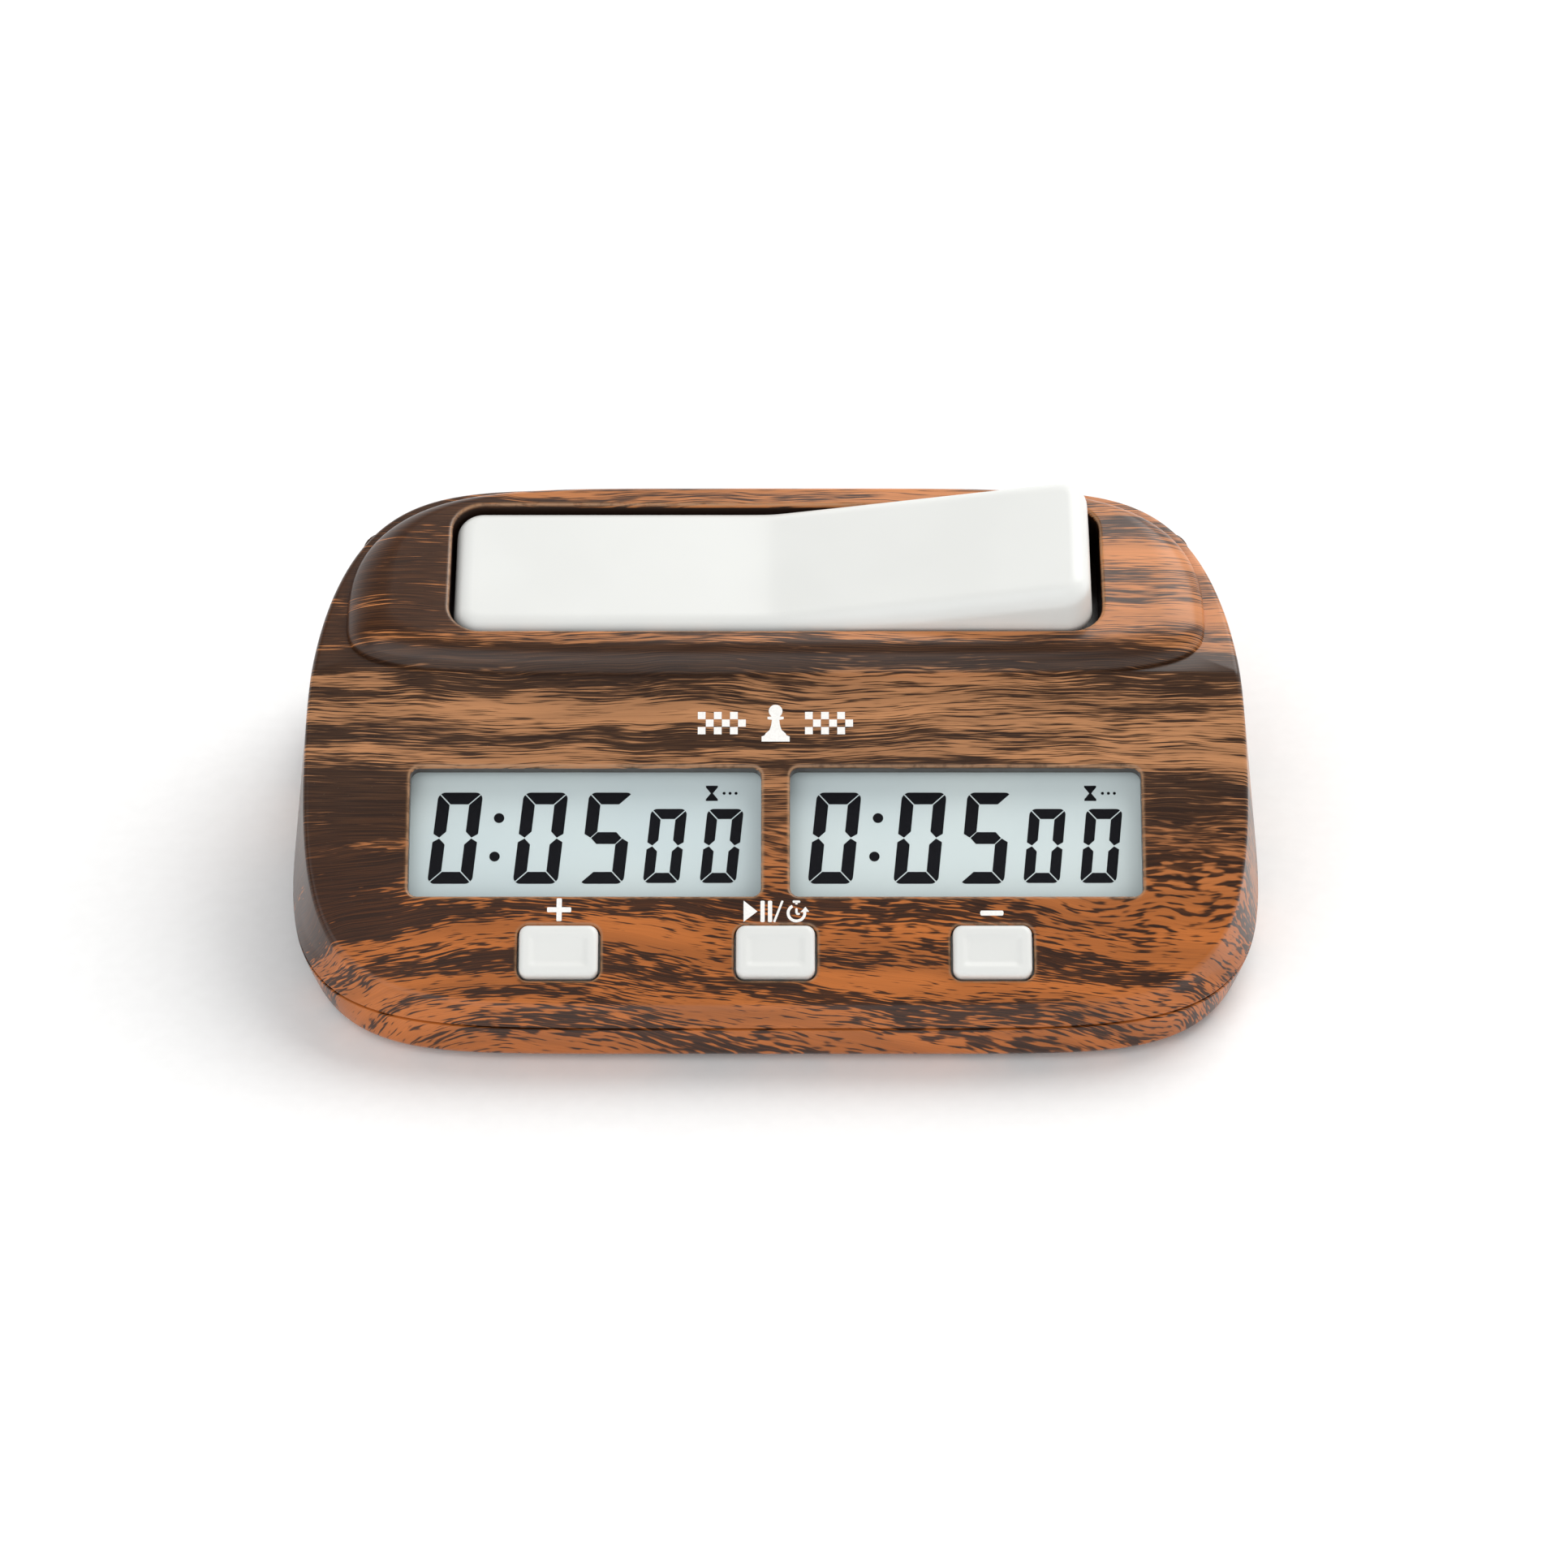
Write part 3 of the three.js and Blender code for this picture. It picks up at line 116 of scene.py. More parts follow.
shell_low, shell_high = (np.array(corner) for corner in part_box("upper_shell"))
GAP = 0.3 * MM
WALL = 2.2 * MM
HALF_WIDTH = shell_high[0]
HALF_DEPTH = -shell_low[1]
UPPER_BOTTOM = shell_low[2]
SPLIT = UPPER_BOTTOM - GAP
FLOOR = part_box("lower_shell")[0].z
FLOOR_TOP = FLOOR + WALL
FACE_SETBACK = 1.0 * MM

shell_points = node_points("upper_shell")
front_points = shell_points[shell_points[:, 1] < -20 * MM]
side_points = shell_points[(np.abs(shell_points[:, 0]) > 64 * MM) & (shell_points[:, 1] > 10 * MM)]
face_level = Plane((0, 0, 0), FACE_SLOPE).read(front_points)[:, 2].max()
deck_level = Plane((0, 0, 0), DECK_SLOPE).read(side_points)[:, 2].max()
FACE_Y = -HALF_DEPTH + FACE_SETBACK
FACE_Z = (face_level + math.sin(FACE_SLOPE) * FACE_Y) / math.cos(FACE_SLOPE)
CREASE_Y = (deck_level / math.cos(DECK_SLOPE) - FACE_Z + FACE_TAN * FACE_Y) / (FACE_TAN - DECK_TAN)
CREASE_Z = FACE_Z + FACE_TAN * (CREASE_Y - FACE_Y)
FACE = Plane((0, FACE_Y, FACE_Z), FACE_SLOPE)
DECK = Plane((0, CREASE_Y, CREASE_Z), DECK_SLOPE)
PIVOT = np.array(joint("rocker_tilt")["pos_m"])
ROCKER_TILT = math.radians(joint("rocker_tilt")["range_deg"][1]) / 2
ROCKER = Plane(PIVOT, DECK_SLOPE, ROCKER_TILT)

# Shape of the case: outlines |x/a|^side + |y/b|^end = 1, whose powers change with the height
SPLIT_POWERS = (6.0, 3.9)
DECK_POWERS = (8.0, 1.85)
FLOOR_POWERS = (8.0, 2.6)
UNDERCUT = 0.9 * MM
FLOOR_EDGE = 1.5 * MM
SIDE_DRAFT = 0.12
REAR_DRAFT = 0.37
TONGUE_WIDTH = 0.8 * MM
TONGUE_HEIGHT = 1.5 * MM

# Pillow around the rocker, in the deck's frame
HUMP_HALF_LENGTH = 61.8 * MM
HUMP_MIDDLE = 10.5 * MM
HUMP_FRONT = 11.2 * MM
HUMP_REAR = 22.8 * MM
HUMP_SIDE_POWER = 5.5
HUMP_FRONT_POWER = 4.0
HUMP_REAR_POWER = 2.4

WELL_MARGIN = np.array((1.1, 0.35)) * MM
WELL_CORNER = 4.6 * MM
WELL_FLOOR = -6.8 * MM
WELL_WALL = 1.8 * MM
WINDOW_CORNER = 1.3 * MM
GLASS_MARGIN = 1.0 * MM
BUTTON_LEDGE = 0.9 * MM  # flange of a button past its cap
BUTTON_CORNER = 1.3 * MM
SUPPORT = 0.2 * MM  # width of the flat band that ends a rounding
WALL_SHADE_START = 0.25 * MM  # depth down the wall of an opening at which the painted wall shade begins

CASE_SCREW_NODES = sorted(name for name in frame["nodes"] if name.startswith("case_screw"))
BOARD_SCREW_NODES = sorted(name for name in frame["nodes"] if name.startswith("board_screw"))
TURN_SCREW_NODES = sorted(name for name in frame["nodes"] if name.startswith("turn_board_screw"))
FOOT_NODES = sorted(name for name in frame["nodes"] if name.startswith("foot_"))
CASE_BOSS_RADIUS = 3.2 * MM
CASE_SCREW_BORE = 1.5 * MM
CASE_HEAD_RADIUS = 2.5 * MM
CASE_HEAD_HEIGHT = 1.6 * MM
SMALL_BOSS_RADIUS = 2.4 * MM
SMALL_SCREW_BORE = 1.2 * MM
BAY_MARGIN = 0.6 * MM
BAY_WALL = 1.6 * MM
BAY_RISE = 2.0 * MM
DOOR_THICKNESS = 1.0 * MM
ROCKER_END_HEIGHT = 8.8 * MM
ROCKER_SKIN = 1.8 * MM
ROCKER_CORNER = 4.0 * MM
ROCKER_BELLY = -1.2 * MM
ROCKER_FOOT = 3.0 * MM
ROCKER_FOOT_DROP = 5.4 * MM
HUB_RADIUS = 2.2 * MM
PIN_BORE = 1.3 * MM
BUTTON_STEM = 1.5 * MM


# ----------------------------------------------------------
# Surfaces
# ----------------------------------------------------------


def inside(points, loop):
    """Which flat points lie inside a closed loop, by counting the edges that a line to the right crosses."""
    ends = np.roll(loop, -1, 0)
    x, y = points[:, :1], points[:, 1:]
    crosses = (loop[:, 1] > y) != (ends[:, 1] > y)
    fall = np.where(ends[:, 1] == loop[:, 1], 1.0, ends[:, 1] - loop[:, 1])
    at = loop[:, 0] + (y - loop[:, 1]) * (ends[:, 0] - loop[:, 0]) / fall
    return (crosses & (x < at)).sum(1) % 2 == 1


class Skin:
    """Points and faces of a closed surface, gathered ring by ring."""

    def __init__(self):
        self.rows = []
        self.rim_and_shade = []
        self.faces = []
        self.size = 0

    def ring(self, points, rim_and_shade=0.0):
        points = np.asarray(points, float).reshape(-1, 3)
        index = np.arange(self.size, self.size + len(points))
        self.rows.append(points)
        self.rim_and_shade.append(np.full(len(points), rim_and_shade))
        self.size += len(points)
        return index

    def strip(self, low, high):
        """Four-sided faces between two closed rings of the same count."""
        quads = np.stack([low, np.roll(low, -1), np.roll(high, -1), high], 1)
        self.faces += quads.tolist()

    def stack(self, *rings, rim_and_shade=()):
        """Rings joined one after another, each with its edge wear. Gives the first and the last ring."""
        rim_and_shade = [*rim_and_shade, *[0.0] * (len(rings) - len(rim_and_shade))]
        index = [self.ring(points, amount) for points, amount in zip(rings, rim_and_shade)]
        for low, high in zip(index, index[1:]):
            self.strip(low, high)
        return index[0], index[-1]

    def sheet(self, loops, plane=TABLE, loose=(), lines=()):
        """Flat-lying faces between the first loop and the others, which are holes.

        The points are seen along the plane's out axis and joined by constrained Delaunay triangles. Loose
        points are joined in as well, and lines are pairs of points that an edge has to join. No two outlines
        may cross.
        """
        index = np.concatenate([*loops, *loose])
        flat = plane.read(np.concatenate(self.rows)[index])[:, :2] / MM
        edges = []
        starts = np.cumsum([0] + [len(loop) for loop in loops])
        for start, loop in zip(starts, loops):
            local = np.arange(start, start + len(loop))
            edges += np.stack([local, np.roll(local, -1)], 1).tolist()
        where = {int(point): i for i, point in enumerate(index)}
        edges += [(where[int(a)], where[int(b)]) for a, b in lines]
        _, _, found, source, _, _ = geometry.delaunay_2d_cdt([Vector(p) for p in flat], edges, [], 0, 1e-5)
        triangles = np.array([ids[0] for ids in source])[np.array(found)]
        centres = flat[triangles].mean(1)
        keep = inside(centres, flat[: len(loops[0])])
        for start, loop in zip(starts[1:], loops[1:]):
            keep &= ~inside(centres, flat[start : start + len(loop)])
        self.faces += index[triangles[keep]].tolist()

    def block(self, outline, plane, low, high, edge=0.0):
        """A closed plate with an outline in a plane's frame, its top edge eased over edge."""
        outline = np.asarray(outline, float)
        rings = [plane.place(outline[:, 0], outline[:, 1], low)]
        if edge > 0:
            centre = outline.mean(0)
            shrunk = centre + (outline - centre) * (1 - edge / np.abs(outline - centre).max(0))
            rings.append(plane.place(outline[:, 0], outline[:, 1], high - edge))
            rings.append(plane.place(shrunk[:, 0], shrunk[:, 1], high))
        else:
            rings.append(plane.place(outline[:, 0], outline[:, 1], high))
        first, last = self.stack(*rings)
        self.sheet([first], plane)
        self.sheet([last], plane)

    def lathe(self, plane, centre, profile, sides=48):
        """A closed surface of revolution about a plane's out axis, from (radius, height) pairs."""
        angle = np.arange(sides) * 2 * math.pi / sides
        rings = [
            plane.place(centre[0] + radius * np.cos(angle), centre[1] + radius * np.sin(angle), height)
            for radius, height in profile
        ]
        first, last = self.stack(*rings)
        for ring, (radius, _) in ((first, profile[0]), (last, profile[-1])):
            if radius > 0:
                self.sheet([ring], plane)

    def piece(self, name, body, material, replaces=(), sharp=24.0):
        """The surface as a shaded object that rides on a body and stands for its CAD nodes."""
        mesh = bpy.data.meshes.new(name)
        mesh.from_pydata(np.concatenate(self.rows).tolist(), [], self.faces)
        rim_and_shade_values = mesh.attributes.new("edge_wear", "FLOAT", "POINT")
        rim_and_shade_values.data.foreach_set("value", np.concatenate(self.rim_and_shade))
        work = bmesh.new()
        work.from_mesh(mesh)
        bmesh.ops.remove_doubles(work, verts=work.verts, dist=1e-7)
        bmesh.ops.dissolve_degenerate(work, edges=work.edges, dist=1e-7)
        bmesh.ops.recalc_face_normals(work, faces=work.faces)
        work.to_mesh(mesh)
        work.free()
        mesh.polygons.foreach_set("use_smooth", [True] * len(mesh.polygons))
        mesh.set_sharp_from_angle(angle=math.radians(sharp))
        mesh.materials.append(material)
        made = bpy.data.objects.new(name, mesh)
        bpy.context.scene.collection.objects.link(made)
        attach(made, body)
        if replaces:
            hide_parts(*replaces)
        return made


def oval(angle, a, b, side_power, end_power):
    """Points of |x/a|^side + |y/b|^end = 1 at each angle."""
    cos, sin = np.cos(angle), np.sin(angle)
    x = a * np.sign(cos) * np.abs(cos) ** (2 / side_power)
    y = b * np.sign(sin) * np.abs(sin) ** (2 / end_power)
    return x, y


def rounded(half_width, half_height, corner, arc=8, sides=(1, 1)):
    """Outline of a rectangle with quarter-circle corners, and points along its straight sides."""
    corner = max(corner, 0.05 * MM)
    turn = np.linspace(0, math.pi / 2, arc + 1)
    w, h = half_width - corner, half_height - corner
    rows = []
    for quarter, (x, y) in enumerate(((w, h), (-w, h), (-w, -h), (w, -h))):
        angle = turn + quarter * math.pi / 2
        rows.append(np.stack([x + corner * np.cos(angle), y + corner * np.sin(angle)], 1))
        reach = sides[quarter % 2]
        if reach > 1:
            share = np.linspace(-1, 1, reach + 1)[1:-1]
            bent = np.sign(share) * np.abs(share) ** 1.6
            run = w if quarter % 2 == 0 else h
            edge = np.stack([-bent * run, np.full_like(bent, h + corner)], 1)
            if quarter % 2 == 1:
                edge = np.stack([np.full_like(bent, -w - corner), -bent * run], 1)
            rows.append(edge if quarter < 2 else -edge)
    return np.concatenate(rows)


def fillet(radius, steps=8):
    """Quarter circle as (distance in from the wall, depth under the top), from the wall to the top."""
    turn = np.linspace(0, math.pi / 2, steps + 1)
    return np.stack([radius * (1 - np.cos(turn)), radius * (1 - np.sin(turn))], 1)


# ----------------------------------------------------------
# Case
# ----------------------------------------------------------


def case_ring(angle, z, inset=0.0):
    """Case outline at a height, moved in by inset: an oval whose lengths and powers change with height."""
    rise = np.maximum(0.0, z - UPPER_BOTTOM)
    up = np.clip(rise / (CREASE_Z - UPPER_BOTTOM), 0, 1)
    down = np.clip((SPLIT - z) / (SPLIT - FLOOR), 0, 1)
    draw = inset + down * UNDERCUT
    rear = HALF_DEPTH - REAR_DRAFT * rise - draw
    front = HALF_DEPTH - FACE_SETBACK * np.minimum(1, rise / (FACE_Z - UPPER_BOTTOM)) - draw
    powers = [s + up * (d - s) + down * (f - s) for s, d, f in zip(SPLIT_POWERS, DECK_POWERS, FLOOR_POWERS)]
    x, y = oval(angle, HALF_WIDTH - SIDE_DRAFT * rise - draw, (rear + front) / 2, *powers)
    return np.stack(np.broadcast_arrays(x, y + (rear - front) / 2, z), -1)


def roof_height(y, drop=0.0):
    """Height of the sloping face in front of the crease and of the deck behind it, lowered square to each."""
    face = FACE_Z + FACE_TAN * (y - FACE_Y) - drop / math.cos(FACE_SLOPE)
    deck = CREASE_Z + DECK_TAN * (y - CREASE_Y) - drop / math.cos(DECK_SLOPE)
    return np.minimum(face, deck)


def halve(low, high, above):
    """Where a rising test turns true, found by halving the span between two arrays."""
    for _ in range(40):
        middle = (low + high) / 2
        over = above(middle)
        low, high = np.where(over, low, middle), np.where(over, middle, high)
    return (low + high) / 2


def roof_edge(angle, inset=0.0, drop=0.0):
    """Where the case wall meets the roof, at each angle."""
    low = np.full(np.shape(angle), FLOOR)
    top = halve(low, low + 2 * HALF_DEPTH,
                lambda z: z > roof_height(case_ring(angle, z, inset)[..., 1], drop))
    return case_ring(angle, top, inset)


def roof_ring(angle, step, inset=0.0, drop=0.0):
    """Ring on the roof, a step in from its edge, square to the edge in plan."""
    small = 1e-3
    run = roof_edge(angle + small, inset, drop) - roof_edge(angle - small, inset, drop)
    run /= np.linalg.norm(run[..., :2], axis=-1, keepdims=True)
    edge = roof_edge(angle, inset, drop)
    x = edge[..., 0] - step * run[..., 1]
    y = edge[..., 1] + step * run[..., 0]
    return np.stack([x, y, roof_height(y, drop)], -1)


def hump_ring(angle, inward, height):
    """Ring of the pillow. Its base follows the deck, and the face where it crosses the crease."""
    front = np.sin(angle) < 0
    reach = np.where(front, HUMP_FRONT, HUMP_REAR) - inward
    power = np.where(front, HUMP_FRONT_POWER, HUMP_REAR_POWER)
    x, w = oval(angle, HUMP_HALF_LENGTH - inward, reach, HUMP_SIDE_POWER, power)
    base = np.minimum(0.0, (w + HUMP_MIDDLE) * math.tan(FACE_SLOPE - DECK_SLOPE))
    return DECK.place(x, w + HUMP_MIDDLE, base + (1 - base / sizes().hump_height) * height)


def three_spans(first, count_front, count_rear):
    """Angles once round from -90 degrees, with one exactly at first and one at its mirror image."""
    spans = (-math.pi / 2, first, math.pi - first, 3 * math.pi / 2)
    counts = (count_front, count_rear, count_front)
    parts = [np.linspace(a, b, n, endpoint=False) for a, b, n in zip(spans, spans[1:], counts)]
    return np.concatenate(parts)


def sizes():
    return bpy.context.scene.clock_sizes


def colours():
    return bpy.context.scene.clock_colours


def openings():
    """Windows and button holes in the face: (centre, half size, corner, edge rounding)."""
    rows = []
    for name in ("window_lens_left", "window_lens_right"):
        low, high = corners(name, FACE)
        rows.append(((low + high)[:2] / 2, (high - low)[:2] / 2 - GLASS_MARGIN, WINDOW_CORNER,
                     sizes().window_round))
    for name in ("button_plus", "button_play", "button_minus"):
        low, high = corners(name, FACE)
        half = (high - low)[:2] / 2 - BUTTON_LEDGE + GAP
        rows.append(((low + high)[:2] / 2, half, BUTTON_CORNER + GAP, sizes().hole_round))
    return rows


def hole_walls(skin, plane, centre, half, corner, edge, top, bottom, arc=8):
    """Rounded rim and straight wall of a hole, from the flat band round it down to its last ring.

    The rim's edge wear is above zero. The wall's is -1 from PRINT_REACH down, where the print doesn't reach.
    """
    rim = [(edge + SUPPORT, 0.0)] + [(inward, depth) for inward, depth in fillet(edge)[::-1]]
    rings = []
    for wide, depth in rim + [(0.0, edge + WALL_SHADE_START), (0.0, top - bottom)]:
        outline = rounded(half[0] + wide, half[1] + wide, corner + wide, arc)
        rings.append(plane.place(centre[0] + outline[:, 0], centre[1] + outline[:, 1], top - depth))
    return skin.stack(*rings, rim_and_shade=[*np.sin(np.linspace(0, math.pi, len(rim))) ** 2, -1.0, -1.0])


def circle(centre, radius, sides=32):
    angle = np.arange(sides) * 2 * math.pi / sides
    return centre[0] + radius * np.cos(angle), centre[1] + radius * np.sin(angle)


def round_wall(skin, plane, centre, levels, sides=32):
    """Round wall about a line along a plane's out axis, through (radius, height) pairs."""
    return skin.stack(*[plane.place(*circle(centre, radius, sides), height) for radius, height in levels])


def centre_of(name, plane=TABLE):
    low, high = corners(name, plane)
    return (low + high)[:2] / 2


def well_shape():
    """Centre and half size of the well, from the rocker."""
    low, high = corners("rocker", ROCKER)
    return DECK.read(PIVOT)[:2], (high - low)[:2] / 2 + WELL_MARGIN


def well_slots():
    """Outlines of the two slots that the rocker's feet reach through, at the plungers."""
    sweep = ROCKER_FOOT_DROP * math.sin(ROCKER_TILT) + 2 * GAP
    half = np.array((ROCKER_FOOT / 2 + sweep, ROCKER_FOOT / 2 + 2 * GAP))
    for name in ("turn_plunger_left", "turn_plunger_right"):
        yield centre_of(name, DECK) + rounded(*half, 0.5 * MM, 4)


def upper_edge(angle):
    """Reach of the upper edge's rounding, smaller along the rear, where the pillow comes close to it."""
    behind = np.maximum(0.0, np.sin(angle)) ** 2
    return sizes().edge_round + (sizes().edge_rear - sizes().edge_round) * behind


def make_upper_shell():
    """Leaning walls under the sloping face and the deck, with a pillow that rises round the well."""
    skin = Skin()
    crease = float(halve(
        -0.5, 1.2, lambda a: roof_ring(np.array([a]), upper_edge(a) + SUPPORT / 2)[0, 1] > CREASE_Y))
    counts = (90, 150)
    angle = three_spans(crease, *counts)
    edge = upper_edge(angle)
    top = roof_edge(angle)
    lean = case_ring(angle, top[:, 2] - edge)
    inner = roof_edge(angle, WALL, WALL)
    rebate = WALL - TONGUE_WIDTH - GAP
    rebate_top = SPLIT + TONGUE_HEIGHT + GAP
    ease = sizes().split_ease
    rings = [case_ring(angle, rebate_top + s * (inner[:, 2] - rebate_top), WALL)
             for s in np.linspace(1, 0, 5)]
    rings += [case_ring(angle, z, inset) for inset, z in (
        (rebate, rebate_top), (rebate, UPPER_BOTTOM),
        (ease, UPPER_BOTTOM), (ease * 0.3, UPPER_BOTTOM + ease * 0.3))]
    start = UPPER_BOTTOM + ease
    rings += [case_ring(angle, start + s * (lean[:, 2] - start)) for s in np.linspace(0, 1, 14)]
    roof = roof_ring(angle, edge)
    for t in np.linspace(0, 1, 9)[1:]:
        rings.append((1 - t) ** 2 * lean + 2 * t * (1 - t) * top + t * t * roof)
    rings.append(roof_ring(angle, edge + SUPPORT / 2))
    inner_loop, roof_loop = skin.stack(*rings)

    outer_holes, inner_holes = [], []
    for centre, half, corner, rim in openings():
        high, low = hole_walls(skin, FACE, centre, half, corner, rim, 0.0, -WALL)
        outer_holes.append(high)
        inner_holes.append(low)

    hump_front = -math.asin((HUMP_MIDDLE / HUMP_FRONT) ** (HUMP_FRONT_POWER / 2))
    hump_counts = (50, 190)
    turn = three_spans(hump_front, *hump_counts)
    height = sizes().hump_height
    behind = np.sin(turn) > 0
    least = np.where(behind, sizes().shoulder_rear, sizes().shoulder)
    shoulder = least + (sizes().shoulder_end - least) * np.abs(np.cos(turn)) ** np.where(behind, 4, 2)
    humps = []
    for lift in np.linspace(0, math.pi / 2, 15):
        humps.append(hump_ring(turn, shoulder * (1 - math.cos(lift)), height * math.sin(lift)))
    humps.append(hump_ring(turn, shoulder + SUPPORT / 2, height))
    hump_base, hump_top = skin.stack(*humps)
    creases = [(roof_loop[at], hump_base[on]) for at, on in zip(
        (counts[0], sum(counts)), (hump_counts[0], sum(hump_counts)))]
    skin.sheet([roof_loop, *outer_holes, hump_base], lines=creases)

    centre, half = well_shape()
    rim, floor = hole_walls(skin, DECK, centre, half, WELL_CORNER, sizes().well_round, height, WELL_FLOOR)
    skin.sheet([hump_top, rim], DECK)
    underside = WELL_FLOOR - WELL_WALL
    slots = [skin.stack(DECK.place(*slot.T, WELL_FLOOR), DECK.place(*slot.T, underside))
             for slot in well_slots()]
    skin.sheet([floor, *[high for high, _ in slots]], DECK)
    block = centre + rounded(*(half + WELL_WALL), WELL_CORNER + WELL_WALL)
    block_low, block_high = skin.stack(DECK.place(*block.T, underside), DECK.place(*block.T, -WALL))
    skin.sheet([block_low, *[low for _, low in slots]], DECK)
    meet = CREASE_Y + WALL * (1 / math.cos(FACE_SLOPE) - 1 / math.cos(DECK_SLOPE)) / (FACE_TAN - DECK_TAN)
    away = np.abs(inner[:, 1] - meet)
    ends = [inner_loop[np.where(inner[:, 0] * side > 0, away, 1).argmin()] for side in (-1, 1)]
    skin.sheet([inner_loop, *inner_holes, block_high], lines=[ends])
    add_bosses(skin)
    skin.piece("upper_case", "case", finish("Wood print"), ["upper_shell"])


def add_bosses(skin):
    """Screw bosses inside the upper shell: round posts with a blind hole, sunk in the roof's wall."""
    for name in CASE_SCREW_NODES:
        x, y = centre_of(name)
        top = roof_height(circle((x, y), CASE_BOSS_RADIUS)[1], WALL * 0.7)
        start = SPLIT + TONGUE_HEIGHT + GAP
        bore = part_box(name)[1].z + GAP
        outer = TABLE.place(*circle((x, y), CASE_BOSS_RADIUS), top)
        levels = [(CASE_BOSS_RADIUS, start), (CASE_SCREW_BORE, start), (CASE_SCREW_BORE, bore)]
        rings = [TABLE.place(*circle((x, y), radius), height) for radius, height in levels]
        high, end = skin.stack(outer, *rings)
        skin.sheet([high])
        skin.sheet([end])
    posts = [(FACE, name, corners("main_board", FACE)[1][2], -WALL * 0.7) for name in BOARD_SCREW_NODES]
    posts += [(DECK, name, corners("turn_board", DECK)[1][2], WELL_FLOOR - WELL_WALL * 0.7)
              for name in TURN_SCREW_NODES]
    for plane, name, board, top in posts:
        bore = corners(name, plane)[1][2] + GAP
        start = board + GAP
        high, end = round_wall(skin, plane, centre_of(name, plane), [
            (SMALL_BOSS_RADIUS, top), (SMALL_BOSS_RADIUS, start),
            (SMALL_SCREW_BORE, start), (SMALL_SCREW_BORE, bore)])
        skin.sheet([high], plane)
        skin.sheet([end], plane)


def make_lower_shell():
    """Shallow tray with a tongue, the battery bay, screw posts and recesses for the feet."""
    skin = Skin()
    angle = np.arange(300) * 2 * math.pi / 300
    ease = sizes().split_ease
    post_top = SPLIT + TONGUE_HEIGHT
    levels = [(FLOOR_EDGE + SUPPORT, FLOOR)]
    levels += [(inward, FLOOR + depth) for inward, depth in fillet(FLOOR_EDGE)[::-1]]
    levels += [(0.0, z) for z in np.linspace(FLOOR + FLOOR_EDGE, SPLIT - ease, 5)[1:]]
    levels += [(ease * 0.3, SPLIT - ease * 0.3), (ease, SPLIT), (WALL - TONGUE_WIDTH, SPLIT),
               (WALL - TONGUE_WIDTH, post_top), (WALL, post_top), (WALL, FLOOR_TOP)]
    under, floor = skin.stack(*[case_ring(angle, z, inset) for inset, z in levels])
    under_holes, floor_holes = [], []

    low, high = corners("battery_door", TABLE)
    centre, door_half = (low + high)[:2] / 2, (high - low)[:2] / 2
    recess = centre + rounded(*(door_half + GAP), 0.6 * MM)
    ledge = FLOOR + DOOR_THICKNESS + GAP
    cell_low, cell_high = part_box("battery_cell")
    bay_half = np.array((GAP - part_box("contact_negative")[0].x, (cell_high.y - cell_low.y) / 2 + BAY_MARGIN))
    bay_top = (cell_low.z + cell_high.z) / 2 + BAY_RISE
    bay = centre + rounded(*bay_half, 0.4 * MM)
    bay_outside = centre + rounded(*(bay_half + BAY_WALL), 0.4 * MM + BAY_WALL)
    recess_low, recess_high = skin.stack(TABLE.place(*recess.T, FLOOR), TABLE.place(*recess.T, ledge))
    bay_low, bay_end = skin.stack(TABLE.place(*bay.T, ledge), TABLE.place(*bay.T, bay_top),
                                  TABLE.place(*bay_outside.T, bay_top),
                                  TABLE.place(*bay_outside.T, FLOOR_TOP))
    skin.sheet([recess_high, bay_low])
    under_holes.append(recess_low)
    floor_holes.append(bay_end)

    for name in CASE_SCREW_NODES:
        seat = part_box(name)[0].z + CASE_HEAD_HEIGHT + GAP
        post = CASE_BOSS_RADIUS + 0.6 * MM
        head = CASE_HEAD_RADIUS + GAP
        hole, end = round_wall(skin, TABLE, centre_of(name), [(head, FLOOR), (head, FLOOR_TOP)])
        foot, inner = FLOOR_TOP - WALL / 4, head - GAP / 6
        round_wall(skin, TABLE, centre_of(name), [
            (post, foot), (post, post_top), (CASE_SCREW_BORE, post_top), (CASE_SCREW_BORE, seat),
            (inner, seat),
            (inner, foot), (post, foot)])
        under_holes.append(hole)
        floor_holes.append(end)
    for name in FOOT_NODES:
        foot_low, foot_high = corners(name, TABLE)
        radius = (foot_high - foot_low)[0] / 2 + GAP
        hole, end = round_wall(skin, TABLE, centre_of(name), [(radius, FLOOR), (radius, foot_high[2] + GAP)])
        skin.sheet([end])
        under_holes.append(hole)
    knob_low, knob_high = corners("power_knob", TABLE)
    travel = joint("power_slide")["range_m"][1]
    slot_half = (knob_high - knob_low)[:2] / 2 + (travel / 2 + GAP, GAP)
    slot = (knob_low + knob_high)[:2] / 2 + (travel / 2, 0) + rounded(*slot_half, 0.5 * MM, 4)
    slot_low, slot_high = skin.stack(TABLE.place(*slot.T, FLOOR), TABLE.place(*slot.T, FLOOR_TOP))
    skin.sheet([under, *under_holes, slot_low])
    skin.sheet([floor, *floor_holes, slot_high])
    skin.piece("lower_case", "case", finish("Wood print"), ["lower_shell"])


# ----------------------------------------------------------
# Rocker and buttons
# ----------------------------------------------------------


